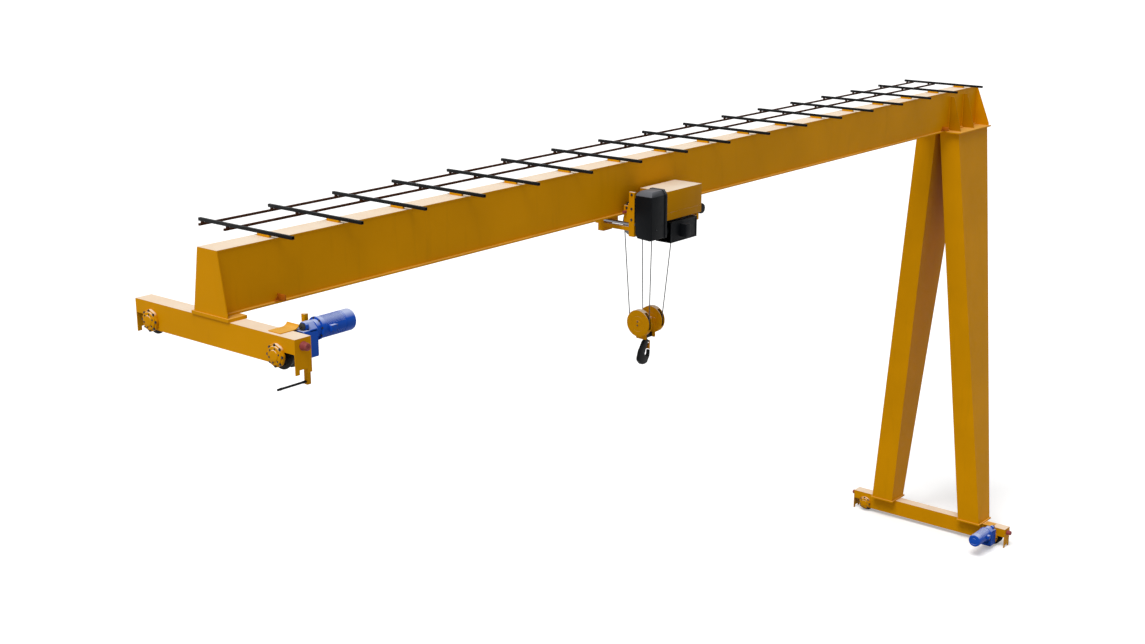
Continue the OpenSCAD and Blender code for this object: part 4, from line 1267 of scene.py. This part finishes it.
class CRANE_OT_hook(bpy.types.Operator):
    """Forged hook with its nut, and the safety latch"""

    bl_idname = "crane.hook"
    bl_label = "Hook and latch"

    def execute(self, context):
        low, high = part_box("load_hook")
        bowl, wide, thick = 0.046, 0.106, 0.050
        bowl_z = low.z + bowl + wide
        pivot = Vector((HOOK_X + bowl + 0.014, 0, bowl_z + 0.168))
        body = rounded(slab(self.outline(bowl, wide), thick), 0.004, 2, 40)
        place(body, (HOOK_X, thick / 2, bowl_z), TO_MINUS_Y)
        shank = rod((HOOK_X, 0, bowl_z + 0.19), (HOOK_X, 0, high.z), 0.0235, 32)
        nut = turned([(0.040, 0), (0.040, 0.030), (0.036, 0.032), (0.025, 0.032)], 6)
        place(nut, (HOOK_X, 0, high.z - 0.035))
        boss, pin_half = 0.014, Vector((0, 0.027, 0))
        boss_low = (HOOK_X + 0.010, -boss, pivot.z - boss)
        boss_high = (pivot.x + 0.010, boss, pivot.z + boss)
        pin = rod(pivot - pin_half, pivot + pin_half, 0.0068, 16)
        hook = join(body, shank, nut, soft_block(boss_low, boss_high, 0.004), pin)
        finish(hook, "forged_hook", "hook", "forged", ("load_hook",), angle=35)
        self.latch(pivot, pivot.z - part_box("hook_latch")[0].z)
        return {"FINISHED"}

    def outline(self, bowl, wide):
        """The hook's side view round the centre of its bowl: back, tip, bowl and neck."""
        neck, top = 0.024, 0.207
        outer = [(-neck, top), (-0.060, 0.192), (-0.078, 0.168)]
        outer += around(-bowl, 0, (-0.69 * wide, 0.108), (-1.02 * wide, 0.066), (-1.2 * wide, 0.008))
        outer += around(-bowl, 0, (-1.35 * wide, -0.036), (-1.35 * wide, -0.070))
        outer += around(-bowl, -bowl, (-1.02 * wide, -0.60 * wide), (-0.62 * wide, -wide))
        outer += around(0, -bowl, (0.008, -wide), (bowl - 0.008, -0.48 * wide))
        outer += around(bowl, 0, (0.024, -0.15 * wide - bowl), (0.029, 0.008))
        tip = around(bowl, 0, (0.030, 0.030), (0.024, 0.040), (0.008, 0.040), (0, 0.028))
        throat = [(-0.028, 0.054), (-0.009, 0.080), (0.008, 0.107), (0.026, 0.142), (0.026, 0.192)]
        return [(neck, top), *eased(outer), *tip, *arc(bowl, range(0, -225, -8)), *throat]

    def latch(self, pivot, reach):
        ear, cheek, tongue, half, soft = 0.014, 0.005, 0.016, 0.0195, 0.0012
        outline = [*arc(ear, range(0, 181, 20)), (-0.009, -reach), (tongue, -reach), (tongue, -0.020)]
        side = place(rounded(slab(outline, cheek), soft), (0, 0, 0), TO_MINUS_Y)
        cheeks = repeat(side, [shift(0, -0.019, 0), shift(0, 0.024, 0)])
        web = soft_block((tongue - cheek, -half, -reach), (tongue, half, -0.036), soft)
        latch = place(join(cheeks, web), pivot)
        finish(latch, "safety_latch", "latch", "latch", ("hook_latch",))


class CRANE_OT_welds(bpy.types.Operator):
    """Weld beads along the seams of the steelwork"""

    bl_idname = "crane.welds"
    bl_label = "Welds"

    def execute(self, context):
        radius = details().weld
        flange_top, deck = GIRDER_HIGH.z, GIRDER_TOP - 0.013
        web_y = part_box("girder_rear_web")[1].y
        ends = (GIRDER_LOW.x, GIRDER_HIGH.x)
        seams = []
        for side in (-1, 1):
            y = side * (web_y + radius * 0.3)
            seams += [((ends[0], y, z), (ends[1], y, z)) for z in (flange_top, deck)]
            seams += [((x, y, flange_top), (x, y, deck)) for x in ends]
        for low, high in solids("cap_gussets"):
            side = 1 if low.y > 0 else -1
            web, edge, reach = (side * y for y in (web_y + 0.001, GIRDER_HIGH.y, max(-low.y, high.y)))
            for x in (low.x, high.x):
                seams.append(((x, web, high.z), (x, web, flange_top)))
                seams.append(((x, edge, GIRDER_LOW.z), (x, reach, GIRDER_LOW.z)))
        beads = [rod(start, end, radius, 6) for start, end in seams]
        finish(join(*beads), "weld_beads", "crane", "plate")
        return {"FINISHED"}


class CRANE_OT_stage(bpy.types.Operator):
    """Pale floor, soft light and the camera"""

    bl_idname = "crane.stage"
    bl_label = "Floor, light and camera"

    def execute(self, context):
        self.floor(context)
        self.sky(context)
        self.camera(context)
        return {"FINISHED"}

    def floor(self, context):
        """White where it is seen, darker where it only throws light back on the crane."""
        colour, side, shaded = tuple(context.scene.crane_stage.floor), 900, 0.45
        deselect()
        bpy.ops.mesh.primitive_plane_add(size=side, location=(0, 0, GROUND_LEVEL))
        floor = settle(context.object)
        floor.name = "floor"
        made = Finish("floor")
        made.set(
            Base_Color=made.blend(made.seen(1.0), shade(colour, shaded), colour),
            Roughness=0.9,
            Specular_IOR_Level=0.1,
            Emission_Color=(1, 1, 1, 1),
            Emission_Strength=made.seen(0.30),
        )
        floor.data.materials.append(made.material)

    def sky(self, context):
        stage = context.scene.crane_stage
        world = bpy.data.worlds.new("sky")
        world.use_nodes = True
        context.scene.world = world
        nodes = Nodes(world.node_tree)
        back = world.node_tree.nodes["Background"]
        back.inputs["Color"].default_value = (1, 1, 1, 1)
        nodes.link(nodes.seen(1.0, stage.sky), back.inputs["Strength"])
        deselect()
        bpy.ops.object.light_add(type="SUN", location=(0, 0, 12))
        sun = context.object
        sun.name = "soft_sun"
        sun.data.energy = stage.sun
        sun.data.angle = math.radians(30)
        sun.rotation_mode = "QUATERNION"
        light_way = Vector((0.46, 0.06, -0.88))
        sun.rotation_quaternion = light_way.to_track_quat("-Z", "Y")

    def camera(self, context):
        stage = context.scene.crane_stage
        bpy.ops.object.camera_add(location=stage.camera_place, rotation=stage.camera_turn)
        camera = context.object
        camera.data.lens = stage.lens
        camera.data.sensor_width = 36
        camera.data.sensor_fit = "HORIZONTAL"
        camera.data.clip_end = 2000
        context.scene.camera = camera
        context.scene.view_settings.view_transform = "Standard"


STEPS = (
    CRANE_OT_stage,
    CRANE_OT_steelwork,
    CRANE_OT_bearing_caps,
    CRANE_OT_travel_wheels,
    CRANE_OT_buffers,
    CRANE_OT_travel_drives,
    CRANE_OT_torque_plates,
    CRANE_OT_collector,
    CRANE_OT_festoon,
    CRANE_OT_end_stops,
    CRANE_OT_hoist,
    CRANE_OT_trolley_wheels,
    CRANE_OT_ropes,
    CRANE_OT_hook_block,
    CRANE_OT_hook,
    CRANE_OT_welds,
)


class CRANE_PT_build(bpy.types.Panel):
    """Builds the crane piece by piece"""

    bl_idname = "CRANE_PT_build"
    bl_label = "Semi-gantry crane"
    bl_space_type = "VIEW_3D"
    bl_region_type = "UI"
    bl_category = "Crane"

    def draw(self, context):
        for group_name in GROUPS:
            group = getattr(context.scene, group_name)
            for name in group.__annotations__:
                self.layout.prop(group, name)
        for step in STEPS:
            self.layout.operator(step.bl_idname)


GROUPS = {"crane_paints": CranePaints, "crane_details": CraneDetails, "crane_stage": CraneStage}


def register():
    for name, group in GROUPS.items():
        bpy.utils.register_class(group)
        setattr(bpy.types.Scene, name, bpy.props.PointerProperty(type=group))
    for item in (*STEPS, CRANE_PT_build):
        bpy.utils.register_class(item)


def unregister():
    for item in reversed((*STEPS, CRANE_PT_build)):
        bpy.utils.unregister_class(item)
    for name, group in GROUPS.items():
        delattr(bpy.types.Scene, name)
        bpy.utils.unregister_class(group)


def main():
    register()
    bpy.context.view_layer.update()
    for step in STEPS:
        group, name = step.bl_idname.split(".")
        getattr(getattr(bpy.ops, group), name)()


if __name__ == "__main__":
    main()
